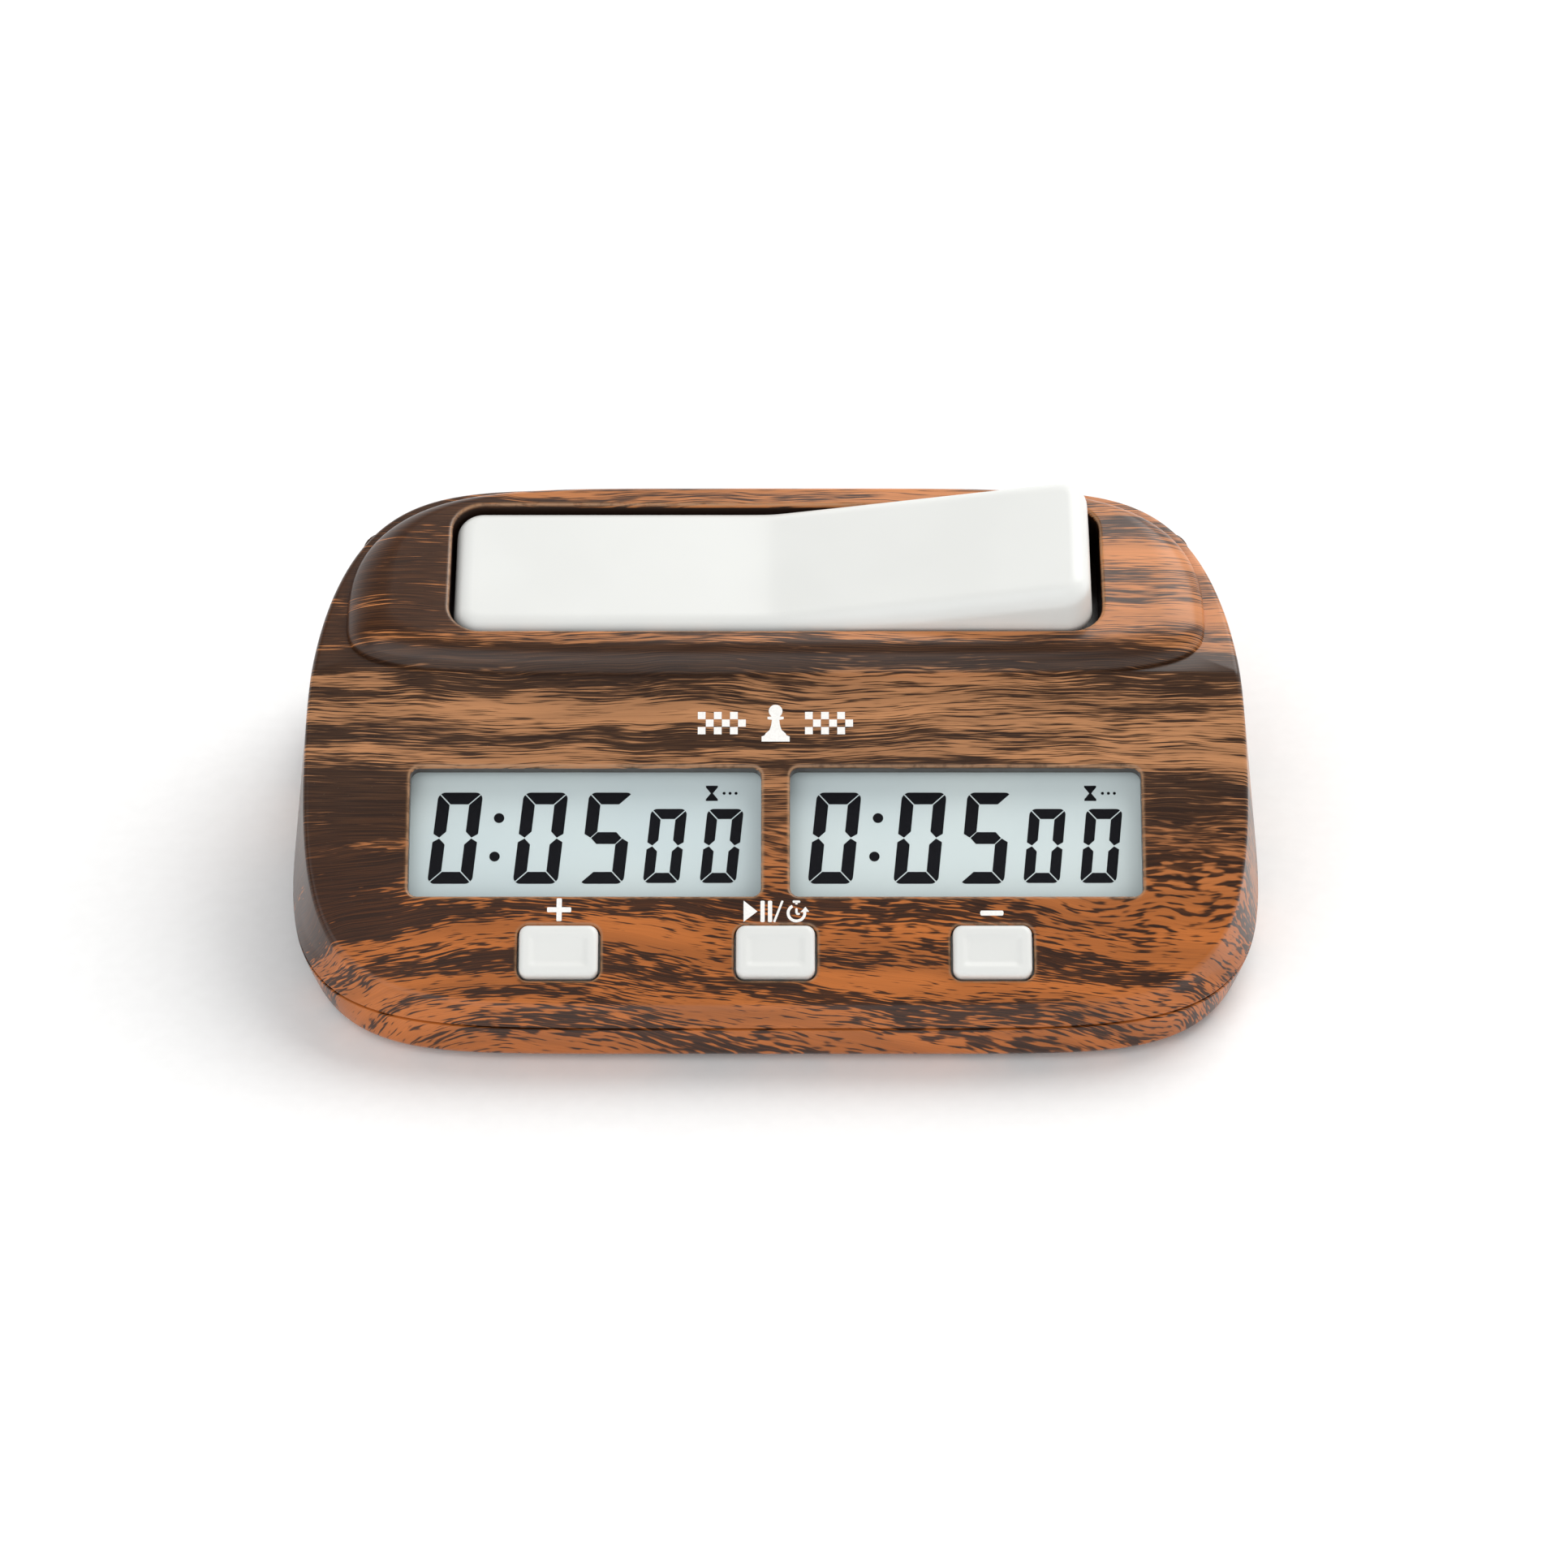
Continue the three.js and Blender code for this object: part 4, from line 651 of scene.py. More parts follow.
def make_rocker():
    """Two wings that rise from the middle, with broadly rounded edges.

    The top is at t + tan(tilt) * (sqrt(x^2 + soft^2) - soft), where t is its height in the middle.
    """
    skin = Skin()
    low, high = corners("rocker", ROCKER)
    half = (high - low)[:2] / 2
    slope = math.tan(ROCKER_TILT)
    middle_top = high[2] - half[0] * slope
    end_bottom = high[2] - ROCKER_END_HEIGHT
    soft = 1.2 * MM

    def top(x):
        return middle_top + slope * (np.sqrt(x * x + soft * soft) - soft)

    def bottom(x):
        return ROCKER_BELLY + (end_bottom - ROCKER_BELLY) * np.abs(x) / half[0]

    def ring(inset, height):
        outline = rounded(half[0] - inset, half[1] - inset, ROCKER_CORNER - inset, 10, (48, 10))
        return ROCKER.place(*outline.T, height(outline[:, 0]))

    edge = sizes().rocker_round
    lip = 0.3 * MM
    skin_top = ROCKER_SKIN
    rings = [ring(ROCKER_SKIN + 1.2 * MM, lambda x: top(x) - skin_top),
             ring(ROCKER_SKIN + 0.3 * MM, lambda x: top(x) - skin_top - 0.4 * MM),
             ring(ROCKER_SKIN, lambda x: top(x) - skin_top - 1.2 * MM),
             ring(ROCKER_SKIN, lambda x: bottom(x)), ring(lip, lambda x: bottom(x)),
             ring(lip * 0.3, lambda x: bottom(x) + lip * 0.3)]
    for share in np.linspace(0, 1, 6):
        rings.append(ring(0.0, lambda x, s=share: (1 - s) * (bottom(x) + lip) + s * (top(x) - edge)))
    for inward, depth in fillet(edge, 12)[1:]:
        rings.append(ring(inward, lambda x, d=depth: top(x) - d))
    rings.append(ring(edge + SUPPORT, top))
    inner, outer = skin.stack(*rings)
    rows = np.linspace(-1, 1, 9) * (half[1] - edge - 2 * SUPPORT)
    columns = np.concatenate([np.linspace(-6, 6, 25) * MM, np.array((-30, -18, 18, 30)) * MM])
    x, y = (grid.ravel() for grid in np.meshgrid(columns, rows))
    over = skin.ring(ROCKER.place(x, y, top(x)))
    skin.sheet([outer], ROCKER, loose=[over])
    inner_rows = np.linspace(-1, 1, 7) * (half[1] - ROCKER_SKIN - 2 * MM)
    x, y = (grid.ravel() for grid in np.meshgrid(columns, inner_rows))
    under = skin.ring(ROCKER.place(x, y, top(x) - skin_top))
    skin.sheet([inner], ROCKER, loose=[under])

    axle = Plane(PIVOT, 0)
    axle.axes = ROCKER.axes[[2, 0, 1]]
    reach = half[1] - ROCKER_SKIN * 0.5
    hub = [(PIN_BORE, -reach), (HUB_RADIUS, -reach), (HUB_RADIUS, reach), (PIN_BORE, reach)]
    skin.lathe(axle, (0, 0), [*hub, hub[0]], 32)
    web = rounded(0.6 * MM, reach, 0.1 * MM, 2)
    for side in (-1, 1):
        skin.block(web + (side * (HUB_RADIUS - 0.6 * MM), 0), ROCKER, HUB_RADIUS * 0.3,
                   middle_top - skin_top * 0.6)
    for name in ("turn_plunger_left", "turn_plunger_right"):
        foot = rounded(ROCKER_FOOT / 2, ROCKER_FOOT / 2, 0.4 * MM, 4)
        place = (centre_of(name, DECK)[0], 0)
        skin.block(foot + place, ROCKER, -ROCKER_FOOT_DROP, middle_top - skin_top * 0.4)
    skin.piece("rocker_cap", "rocker", finish("White plastic"), ["rocker"])


def make_buttons():
    """Caps with a rounded border and a slightly dished middle, on a flange and a stem."""
    for name in ("plus", "play", "minus"):
        node = "button_" + name
        low, high = corners(node, FACE)
        half = (high - low)[:2] / 2 - BUTTON_LEDGE
        centre = (low + high)[:2] / 2
        edge = sizes().button_round
        dish = sizes().button_dish
        ledge = -WALL - GAP
        flange_bottom = ledge - BUTTON_LEDGE
        profile = [(-BUTTON_LEDGE, flange_bottom), (-BUTTON_LEDGE, ledge), (0.0, ledge), (0.0, 0.0)]
        profile += [(inward, high[2] - depth) for inward, depth in fillet(edge, 8)]
        start = edge + 0.35 * MM
        width = 1.3 * MM
        for share in np.linspace(0, 1, 8):
            profile.append((start + share * width, high[2] - dish * (1 - math.cos(share * math.pi)) / 2))
        skin = Skin()
        rings = []
        for inset, height in profile:
            outline = centre + rounded(
                half[0] - inset, half[1] - inset, BUTTON_CORNER - inset * 0.45, 8, (6, 4))
            rings.append(FACE.place(*outline.T, height))
        first, last = skin.stack(*rings)
        skin.sheet([first], FACE)
        skin.sheet([last], FACE)
        skin.lathe(FACE, centre, [(0, low[2]), (BUTTON_STEM * 0.8, low[2]), (BUTTON_STEM, low[2] + 0.2 * MM),
                                  (BUTTON_STEM, flange_bottom + 0.1 * MM), (0, flange_bottom + 0.1 * MM)], 24)
        skin.piece(f"cap_{name}", name + "_button", finish("White plastic"), [node])


# ----------------------------------------------------------
# Displays and printed symbols
# ----------------------------------------------------------

SEGMENTS_OF = {"0": "abcdef", "5": "acdfg"}
BIG_DIGIT = (6.35, 13.75, 1.78)  # width, height and stroke, in millimetres
SMALL_DIGIT = (5.15, 11.15, 1.52)
DIGIT_SLANT = math.tan(math.radians(5.7))
SEGMENT_GAP = 0.17
READOUT = (("0", -22.45, -6.64, BIG_DIGIT), ("0", -10.3, -6.64, BIG_DIGIT), ("5", -0.95, -6.64, BIG_DIGIT),
           ("0", 8.15, -6.52, SMALL_DIGIT), ("0", 16.2, -6.52, SMALL_DIGIT))
COLON = ((-12.4, 3.25), (-12.95, -2.55))
COLON_RADIUS = 0.74
HOURGLASS = (17.9, 7.0)


def segments(width, height, stroke):
    """The seven bars of a digit, each an outline whose ends are mitred, with rounded outer corners."""
    gap = SEGMENT_GAP * 0.7
    corner = stroke * 0.5
    middle = height / 2
    turn = np.linspace(math.pi / 4, math.pi / 2, 4)
    arc = np.stack([corner * (1 - np.cos(turn)), height - corner * (1 - np.sin(turn))], 1)
    steep = np.stack([corner * (1 - np.sin(turn)), height - corner * (1 - np.cos(turn))], 1)
    top_left = arc + (gap, 0)
    top_right = top_left[::-1] * (-1, 1) + (width, 0)
    top = [*top_left, *top_right, (width - stroke - gap, height - stroke), (stroke + gap, height - stroke)]
    left = [*(steep[::-1] - (0, gap))[::-1], (0, middle + stroke * 0.35), (stroke * 0.5, middle + gap * 0.6),
            (stroke, middle + stroke * 0.55), (stroke, height - stroke - gap)]
    tip = stroke * 0.5
    near, far = stroke + gap * 0.5, width - stroke - gap * 0.5
    bar = [(tip + gap, middle), (near, middle + tip), (far, middle + tip),
           (width - tip - gap, middle), (far, middle - tip), (near, middle - tip)]
    top, left, bar = np.array(top), np.array(left), np.array(bar)
    across, down = np.array((-1, 1)), np.array((1, -1))
    return {"a": top, "g": bar, "f": left, "b": left * across + (width, 0), "e": left * down + (0, height),
            "c": left * (-1, -1) + (width, height), "d": top * down + (0, height)}


def readout_outlines():
    """Outlines of every dark shape on a display, about the window's middle, in millimetres."""
    for digit, x, v, shape in READOUT:
        bars = segments(*shape)
        for name in SEGMENTS_OF[digit]:
            points = bars[name]
            yield np.stack([x + points[:, 0] + points[:, 1] * DIGIT_SLANT, v + points[:, 1]], 1)
    for dot in COLON:
        yield np.stack(circle(dot, COLON_RADIUS, 24), 1)
    x, v = HOURGLASS
    glass = np.array([(-0.85, 1.15), (0.85, 1.15), (0.85, 0.9), (0.14, 0.0), (0.85, -0.9), (0.85, -1.15),
                      (-0.85, -1.15), (-0.85, -0.9), (-0.14, 0.0), (-0.85, 0.9)])
    yield glass + (x, v)
    for step in (1, 2, 3):
        yield np.stack(circle((x + 0.9 + 0.85 * step, v), 0.22, 12), 1)


def flat_shapes(name, plane, outlines, low, high, body, material, replaces=()):
    """Thin printed or etched shapes, each outline a plate of its own."""
    skin = Skin()
    for outline in outlines:
        skin.block(np.asarray(outline) * MM, plane, low, high)
    return skin.piece(name, body, material, replaces)


def make_displays():
    """Glass of each display with its polarising film, the dark shapes on it, and the clear lens above."""
    for side in ("left", "right"):
        low, high = corners("lcd_" + side, FACE)
        centre, half = (low + high)[:2] / 2, (high - low)[:2] / 2
        skin = Skin()
        step = 1.2 * MM
        middle = (low[2] + high[2]) / 2
        film = high[2] - 0.15 * MM
        profile = [(0.0, low[2]), (0.0, middle - GAP / 6), (0.15 * MM, middle),
                   (0.0, middle + GAP / 6), (0.0, film)]
        rings = [FACE.place(*(centre + rounded(half[0] - inset, half[1] - inset, 0.3 * MM, 3)).T, height)
                 for inset, height in profile]
        under, over = skin.stack(*rings)
        skin.sheet([under], FACE)
        skin.sheet([over], FACE)
        film_outline = centre + rounded(half[0] - step * 0.3, half[1] - step * 0.3, 0.5 * MM, 3)
        skin.block(film_outline, FACE, film - 0.05 * MM, high[2] - 0.02 * MM, 0.04 * MM)
        skin.piece("display_glass_" + side, "case", finish("Display glass"), ["lcd_" + side])
        window = Plane(FACE.place(*centre), FACE_SLOPE)
        flat_shapes("display_digits_" + side, window, readout_outlines(), high[2] - 0.03 * MM,
                    high[2] + 0.01 * MM, "case", finish("Display ink"))
        lens_low, lens_high = corners("window_lens_" + side, FACE)
        lens = Skin()
        outline = centre + rounded(*((lens_high - lens_low)[:2] / 2), 1.0 * MM, 6)
        lens.block(outline, FACE, lens_low[2], lens_high[2], 0.1 * MM)
        lens.piece("window_cover_" + side, "case", finish("Clear lens"),
                   ["window_lens_" + side])


def bar_outline(start, end, width, corner=0.5):
    """A straight stroke with rounded ends, from start to end, in millimetres."""
    start, end = np.array(start, float), np.array(end, float)
    run = (end - start) / np.linalg.norm(end - start)
    across = np.array((-run[1], run[0]))
    radius = width / 2
    turn = np.linspace(-math.pi / 2, math.pi / 2, 7)
    cap = np.stack([np.cos(turn) * radius * 2 * corner, np.sin(turn) * radius], 1)
    inset = radius * 2 * corner
    ahead = (end - run * inset) + cap[:, :1] * run + cap[:, 1:] * across
    behind = (start + run * inset) - cap[:, :1] * run - cap[:, 1:] * across
    return np.concatenate([ahead, behind])


def plus_outline(x, v, reach, width):
    w, r = width / 2, reach
    arm = [(w, w), (w, r - 0.1), (w - 0.1, r), (-w + 0.1, r), (-w, r - 0.1)]
    turned = []
    for quarter in range(4):
        c, s = round(math.cos(quarter * math.pi / 2)), round(math.sin(quarter * math.pi / 2))
        turned += [(x + c * px - s * pv, v + s * px + c * pv) for px, pv in arm]
    return turned


def stopwatch_outlines(x, v, radius, stroke):
    """A ring open at its upper right with an arrow head, a crown on top and one hand."""
    turn = np.linspace(math.radians(118), math.radians(370), 40)
    outer = np.stack([x + radius * np.cos(turn), v + radius * np.sin(turn)], 1)
    inner = np.stack([x + (radius - stroke) * np.cos(turn), v + (radius - stroke) * np.sin(turn)], 1)
    yield np.concatenate([outer, inner[::-1]])
    tip = radius - stroke / 2
    yield [(x + tip - 0.62, v + 0.12), (x + tip + 0.62, v + 0.22), (x + tip + 0.1, v + 0.95)]
    yield bar_outline((x - 0.55, v + radius + 0.32), (x + 0.55, v + radius + 0.32), 0.36)
    yield bar_outline((x, v + radius - 0.1), (x, v + radius + 0.3), 0.34, 0.1)
    yield bar_outline((x, v + 0.75), (x + 0.02, v - 0.1), 0.34)
    yield bar_outline((x - 0.05, v - 0.12), (x + 0.5, v - 0.12), 0.32)


def pawn_outline(x, v, height):
    """Side view of a pawn: a round head on a collar, a waisted body and a stepped foot."""
    scale = height / 5.6
    turn = np.linspace(math.radians(-52), math.radians(90), 12)
    head = [(0.98 * math.cos(t), 4.62 + 0.98 * math.sin(t)) for t in turn]
    low = [(2.0, 0.0), (2.0, 0.75), (1.55, 0.95), (1.4, 1.25), (0.85, 1.75), (0.62, 2.5), (0.52, 3.3),
           (1.15, 3.4), (1.15, 3.75), (0.62, 3.8)]
    right = np.array(low + head)
    left = right[::-1] * (-1, 1)
    return (np.concatenate([right, left[1:]]) * scale + (x, v)).tolist()


def checker_outlines(x, v, square, columns, rows):
    """Every other square of a small chequered strip."""
    for column in range(columns):
        for row in range(rows):
            if (column + row) % 2 == 0:
                corner = np.array((x + column * square, v + row * square))
                yield corner + np.array([(0, 0), (1, 0), (1, 1), (0, 1)]) * (square - 0.05)


def make_prints():
    """White symbols on the face: plus, play, pause, stopwatch and minus, and a pawn between chequers."""
    spacing = centre_of("button_minus", FACE)[0] / MM
    outlines = [plus_outline(-spacing, 14.8, 1.7, 0.74),
                bar_outline((spacing - 1.65, 14.3), (spacing + 1.65, 14.3), 0.74, 0.25)]
    outlines.append([(-4.5, 13.0), (-4.5, 16.15), (-2.55, 14.55)])
    outlines += [bar_outline((x, 12.95), (x, 16.15), 0.6, 0.2) for x in (-1.82, -0.77)]
    outlines.append(bar_outline((-0.2, 12.95), (1.0, 16.15), 0.32, 0.2))
    outlines += list(stopwatch_outlines(2.95, 14.3, 1.38, 0.42))
    outlines.append(pawn_outline(0, 40.1, 5.6))
    gap, square, columns, rows = 4.2, 1.15, 6, 3
    for start in (gap, -gap - columns * square):
        outlines += list(checker_outlines(start, 41.2, square, columns, rows))
    thickness = sizes().print_thickness
    flat_shapes("face_symbols", FACE, outlines, -thickness, thickness, "case", finish("White ink"))


# ----------------------------------------------------------
# Underside: door, cell, feet, screws and slider
# ----------------------------------------------------------


def make_battery_parts():
    """Battery door with finger grooves and a latch, the cell with its crimped ends, and the power slider."""
    low, high = corners("battery_door", TABLE)
    centre, half = (low + high)[:2] / 2, (high - low)[:2] / 2
    skin = Skin()
    ease = 0.25 * MM
    top = FLOOR + DOOR_THICKNESS
    profile = [(ease + SUPPORT, FLOOR), (ease, FLOOR), (ease * 0.3, FLOOR + ease * 0.3),
               (0.0, FLOOR + ease), (0.0, top)]
    rings = [TABLE.place(*(centre + rounded(half[0] - inset, half[1] - inset, 0.5 * MM, 4)).T, z)
             for inset, z in profile]
    under, over = skin.stack(*rings)
    grooves = []
    for row in range(6):
        reach = 7.5 * MM - row * 0.6 * MM
        place = (centre[0], low[1] + 2.2 * MM + row * 1.1 * MM)
        outline = place + rounded(reach, 0.3 * MM, 0.29 * MM, 4)
        inner = place + rounded(reach - 0.1 * MM, 0.2 * MM, 0.19 * MM, 4)
        first, last = skin.stack(TABLE.place(*outline.T, FLOOR), TABLE.place(*inner.T, FLOOR + 0.35 * MM))
        skin.sheet([last])
        grooves.append(first)
    skin.sheet([under, *grooves])
    skin.sheet([over])
    for side in (-1, 1):
        rib = rounded(1.0 * MM, 5.5 * MM, 0.2 * MM, 3) + (side * 16 * MM, centre[1] - 1 * MM)
        skin.block(rib, TABLE, top - 0.3 * MM, FLOOR_TOP - 0.2 * MM, 0.2 * MM)
    latch = rounded(3.0 * MM, 0.5 * MM, 0.2 * MM, 3) + (centre[0], low[1] + 3.4 * MM)
    skin.block(latch, TABLE, top - 0.2 * MM, FLOOR_TOP - 0.3 * MM, 0.2 * MM)
    skin.piece("battery_cover", "door", finish("Wood print"), ["battery_door"])

    low, high = corners("battery_cell", TABLE)
    along_x = Plane((0, 0, 0), 0, -math.pi / 2)
    radius = (high - low)[1] / 2
    centre = (-(low + high)[2] / 2, (low + high)[1] / 2)
    start, end = low[0], high[0]
    skin = Skin()
    soft = 0.35 * MM
    profile = [(0, start + 0.5 * MM), (radius * 0.55, start + 0.5 * MM), (radius * 0.6, start),
               (radius - 1.0 * MM, start), (radius - 0.75 * MM, start + 0.3 * MM),
               (radius - soft, start + 0.4 * MM), (radius, start + 0.4 * MM + soft),
               (radius, end - 1.4 * MM - soft), (radius - soft, end - 1.4 * MM),
               (radius - 0.75 * MM, end - 1.4 * MM),
               (radius - 1.0 * MM, end - 1.1 * MM), (2.9 * MM, end - 1.1 * MM), (2.6 * MM, end - 0.9 * MM),
               (2.6 * MM, end - 0.25 * MM), (2.35 * MM, end), (0, end)]
    skin.lathe(along_x, centre, profile, 64)
    skin.piece("cell", "case", finish("Cell sleeve"), ["battery_cell"])

    low, high = corners("power_knob", TABLE)
    centre, half = (low + high)[:2] / 2, (high - low)[:2] / 2
    skin = Skin()
    profile = [(0.25 * MM, low[2]), (0.08 * MM, low[2] + 0.08 * MM),
               (0.0, low[2] + 0.25 * MM), (0.0, high[2])]
    under, over = skin.stack(*[
        TABLE.place(*(centre + rounded(half[0] - inset, half[1] - inset, 0.4 * MM, 4)).T, z)
        for inset, z in profile])
    ridges = []
    for step in (-1, 0, 1):
        slot = centre + (step * 0.75 * MM, 0) + rounded(0.16 * MM, half[1] - 0.5 * MM, 0.15 * MM, 3)
        first, last = skin.stack(TABLE.place(*slot.T, low[2]), TABLE.place(*slot.T, low[2] + 0.35 * MM))
        skin.sheet([last])
        ridges.append(first)
    skin.sheet([under, *ridges])
    skin.sheet([over])
    skin.piece("power_slider_knob", "power_slider", finish("Black plastic"), ["power_knob"])


def make_fasteners():
    """Case screws with a cross recess and ribbed shanks, and rubber feet with a shallow ring."""
    for name in CASE_SCREW_NODES:
        low, high = corners(name, TABLE)
        x, y = centre_of(name)
        bottom, seat = low[2], low[2] + CASE_HEAD_HEIGHT
        skin = Skin()
        shank = CASE_SCREW_BORE - GAP
        levels = [(CASE_HEAD_RADIUS - 0.5 * MM, bottom), (CASE_HEAD_RADIUS - 0.12 * MM, bottom + 0.2 * MM),
                  (CASE_HEAD_RADIUS, bottom + 0.6 * MM), (CASE_HEAD_RADIUS, seat), (shank * 0.8, seat)]
        pitch = 0.9 * MM
        for turn in range(int((high[2] - seat - pitch) / pitch)):
            z = seat + (turn + 0.5) * pitch
            levels += [(shank * 0.8, z), (shank, z + 0.2 * MM),
                       (shank, z + 0.35 * MM), (shank * 0.8, z + 0.55 * MM)]
        levels += [(shank * 0.8, high[2] - 0.8 * MM), (shank * 0.2, high[2])]
        rim, point = round_wall(skin, TABLE, (x, y), levels, 40)
        skin.sheet([point])
        long, thin = 1.4 * MM, 0.32 * MM
        cross = np.array([
            (long, -thin), (long, thin), (thin, thin), (thin, long), (-thin, long), (-thin, thin),
            (-long, thin), (-long, -thin), (-thin, -thin), (-thin, -long), (thin, -long), (thin, -thin)])
        first, last = skin.stack(TABLE.place(*(cross + (x, y)).T, bottom),
                                 TABLE.place(*(cross * 0.7 + (x, y)).T, bottom + 0.9 * MM))
        skin.sheet([last])
        skin.sheet([rim, first])
        skin.piece(name.replace("case_", "") + "_plated", "case", finish("Plated steel"), [name])
    for name in FOOT_NODES:
        low, high = corners(name, TABLE)
        radius = (high - low)[0] / 2
        skin = Skin()
        skin.lathe(TABLE, centre_of(name), [
            (0, high[2]), (radius, high[2]), (radius, 0.5 * MM), (radius - 0.15 * MM, 0.15 * MM),
            (radius - 0.5 * MM, 0.0), (radius - 1.4 * MM, 0.0), (radius - 1.55 * MM, 0.25 * MM),
            (radius - 1.9 * MM, 0.25 * MM), (radius - 2.05 * MM, 0.0), (0, 0.0)])
        skin.piece(name.replace("foot", "rubber_foot"), "case", finish("Rubber"), [name])


# ----------------------------------------------------------
# Finishes
# ----------------------------------------------------------


def linear(red, green, blue):
    """Linear colour from 0-255 screen values."""
    share = np.array((red, green, blue)) / 255
    low, high = share / 12.92, ((share + 0.055) / 1.055) ** 2.4
    return [*np.where(share <= 0.04045, low, high).tolist(), 1.0]


class Graph:
    """Short names for adding nodes to a material or a node group."""

    def __init__(self, tree):
        self.tree = tree

    def node(self, kind, **settings):
        made = self.tree.nodes.new("ShaderNode" + kind)
        for name, value in settings.items():
            setattr(made, name, value)
        return made

    def feed(self, sockets, *values):
        for socket, value in zip(sockets, values):
            if isinstance(value, bpy.types.NodeSocket):
                self.tree.links.new(value, socket)
            else:
                socket.default_value = value

    def math(self, operation, *values):
        made = self.node("Math", operation=operation)
        self.feed(made.inputs, *values)
        return made.outputs[0]

    def vector(self, operation, *values):
        made = self.node("VectorMath", operation=operation)
        self.feed(made.inputs, *values)
        return made.outputs["Value" if operation in ("DOT_PRODUCT", "LENGTH") else "Vector"]

    def combine(self, *values):
        made = self.node("CombineXYZ")
        self.feed(made.inputs, *values)
        return made.outputs[0]

    def noise(self, point, scale=1.0, detail=2.0, roughness=0.5, distortion=0.0):
        made = self.node("TexNoise", noise_dimensions="3D")
        self.feed([made.inputs[name] for name in ("Vector", "Scale", "Detail", "Roughness", "Distortion")],
                  point, scale, detail, roughness, distortion)
        return made.outputs["Fac"]

    def span(self, value, start, end, low=0.0, high=1.0, smooth=True):
        made = self.node("MapRange", interpolation_type="SMOOTHSTEP" if smooth else "LINEAR")
        self.feed(made.inputs[:5], value, start, end, low, high)
        return made.outputs[0]

    def mix(self, share, first, second, blend="MIX"):
        made = self.node("Mix", data_type="RGBA", blend_type=blend)
        self.feed((made.inputs[0], made.inputs[6], made.inputs[7]), share, first, second)
        return made.outputs[2]

    def place_mm(self):
        """Object coordinates in millimetres."""
        coordinates = self.node("TexCoord").outputs["Object"]
        return self.vector("MULTIPLY", coordinates, (1 / MM, 1 / MM, 1 / MM))

    def use(self, group, **values):
        made = self.node("Group", node_tree=group)
        self.feed([made.inputs[name.replace("_", " ")] for name in values], *values.values())
        return made.outputs


def new_group(name, inputs, outputs):
    """Empty node group with named sockets: (name, kind, default) and (name, kind)."""
    tree = bpy.data.node_groups.new(name, "ShaderNodeTree")
    for label, kind, default in inputs:
        socket = tree.interface.new_socket(name=label, in_out="INPUT", socket_type="NodeSocket" + kind)
        socket.default_value = default
    for label, kind in outputs:
        tree.interface.new_socket(name=label, in_out="OUTPUT", socket_type="NodeSocket" + kind)
    graph = Graph(tree)
    return graph, tree.nodes.new("NodeGroupInput").outputs, tree.nodes.new("NodeGroupOutput").inputs


def moulded_group():
    """Moulded skin: a fine pebble of noise cells with a slow waviness, as a height in micrometres."""
    graph, given, out = new_group("Moulded skin", [("Grain", "Float", 4.0), ("Waviness", "Float", 0.3)],
                                  [("Height", "Float"), ("Dust", "Float")])
    place = graph.place_mm()
    fine = graph.noise(place, given["Grain"], 2.0, 0.6)
    slow = graph.noise(place, 0.12, 1.0)
    wavy = graph.math("MULTIPLY", slow, given["Waviness"])
    graph.feed([out["Height"]], graph.math("ADD", fine, graph.math("MULTIPLY", wavy, 40.0)))
    specks = graph.noise(graph.vector("ADD", place, (31.0, 7.0, 3.0)), 2.4, 3.0, 0.75)
    graph.feed([out["Dust"]], graph.span(specks, 0.66, 0.74))
    return graph.tree


def smudge_group():
    """Handling marks: large soft patches and thin streaks, as one mask."""
    graph, given, out = new_group("Handling marks", [("Size", "Float", 22.0)], [("Mask", "Float")])
    place = graph.place_mm()
    scale = graph.math("DIVIDE", 1.0, given["Size"])
    patches = graph.span(graph.noise(place, scale, 3.0, 0.55, 0.8), 0.42, 0.68)
    lines = graph.noise(graph.vector("MULTIPLY", place, (0.35, 1.9, 1.1)), 1.0, 2.0, 0.6)
    graph.feed([out["Mask"]], graph.math("MULTIPLY", patches, graph.span(lines, 0.3, 0.7, 0.45, 1.0)))
    return graph.tree


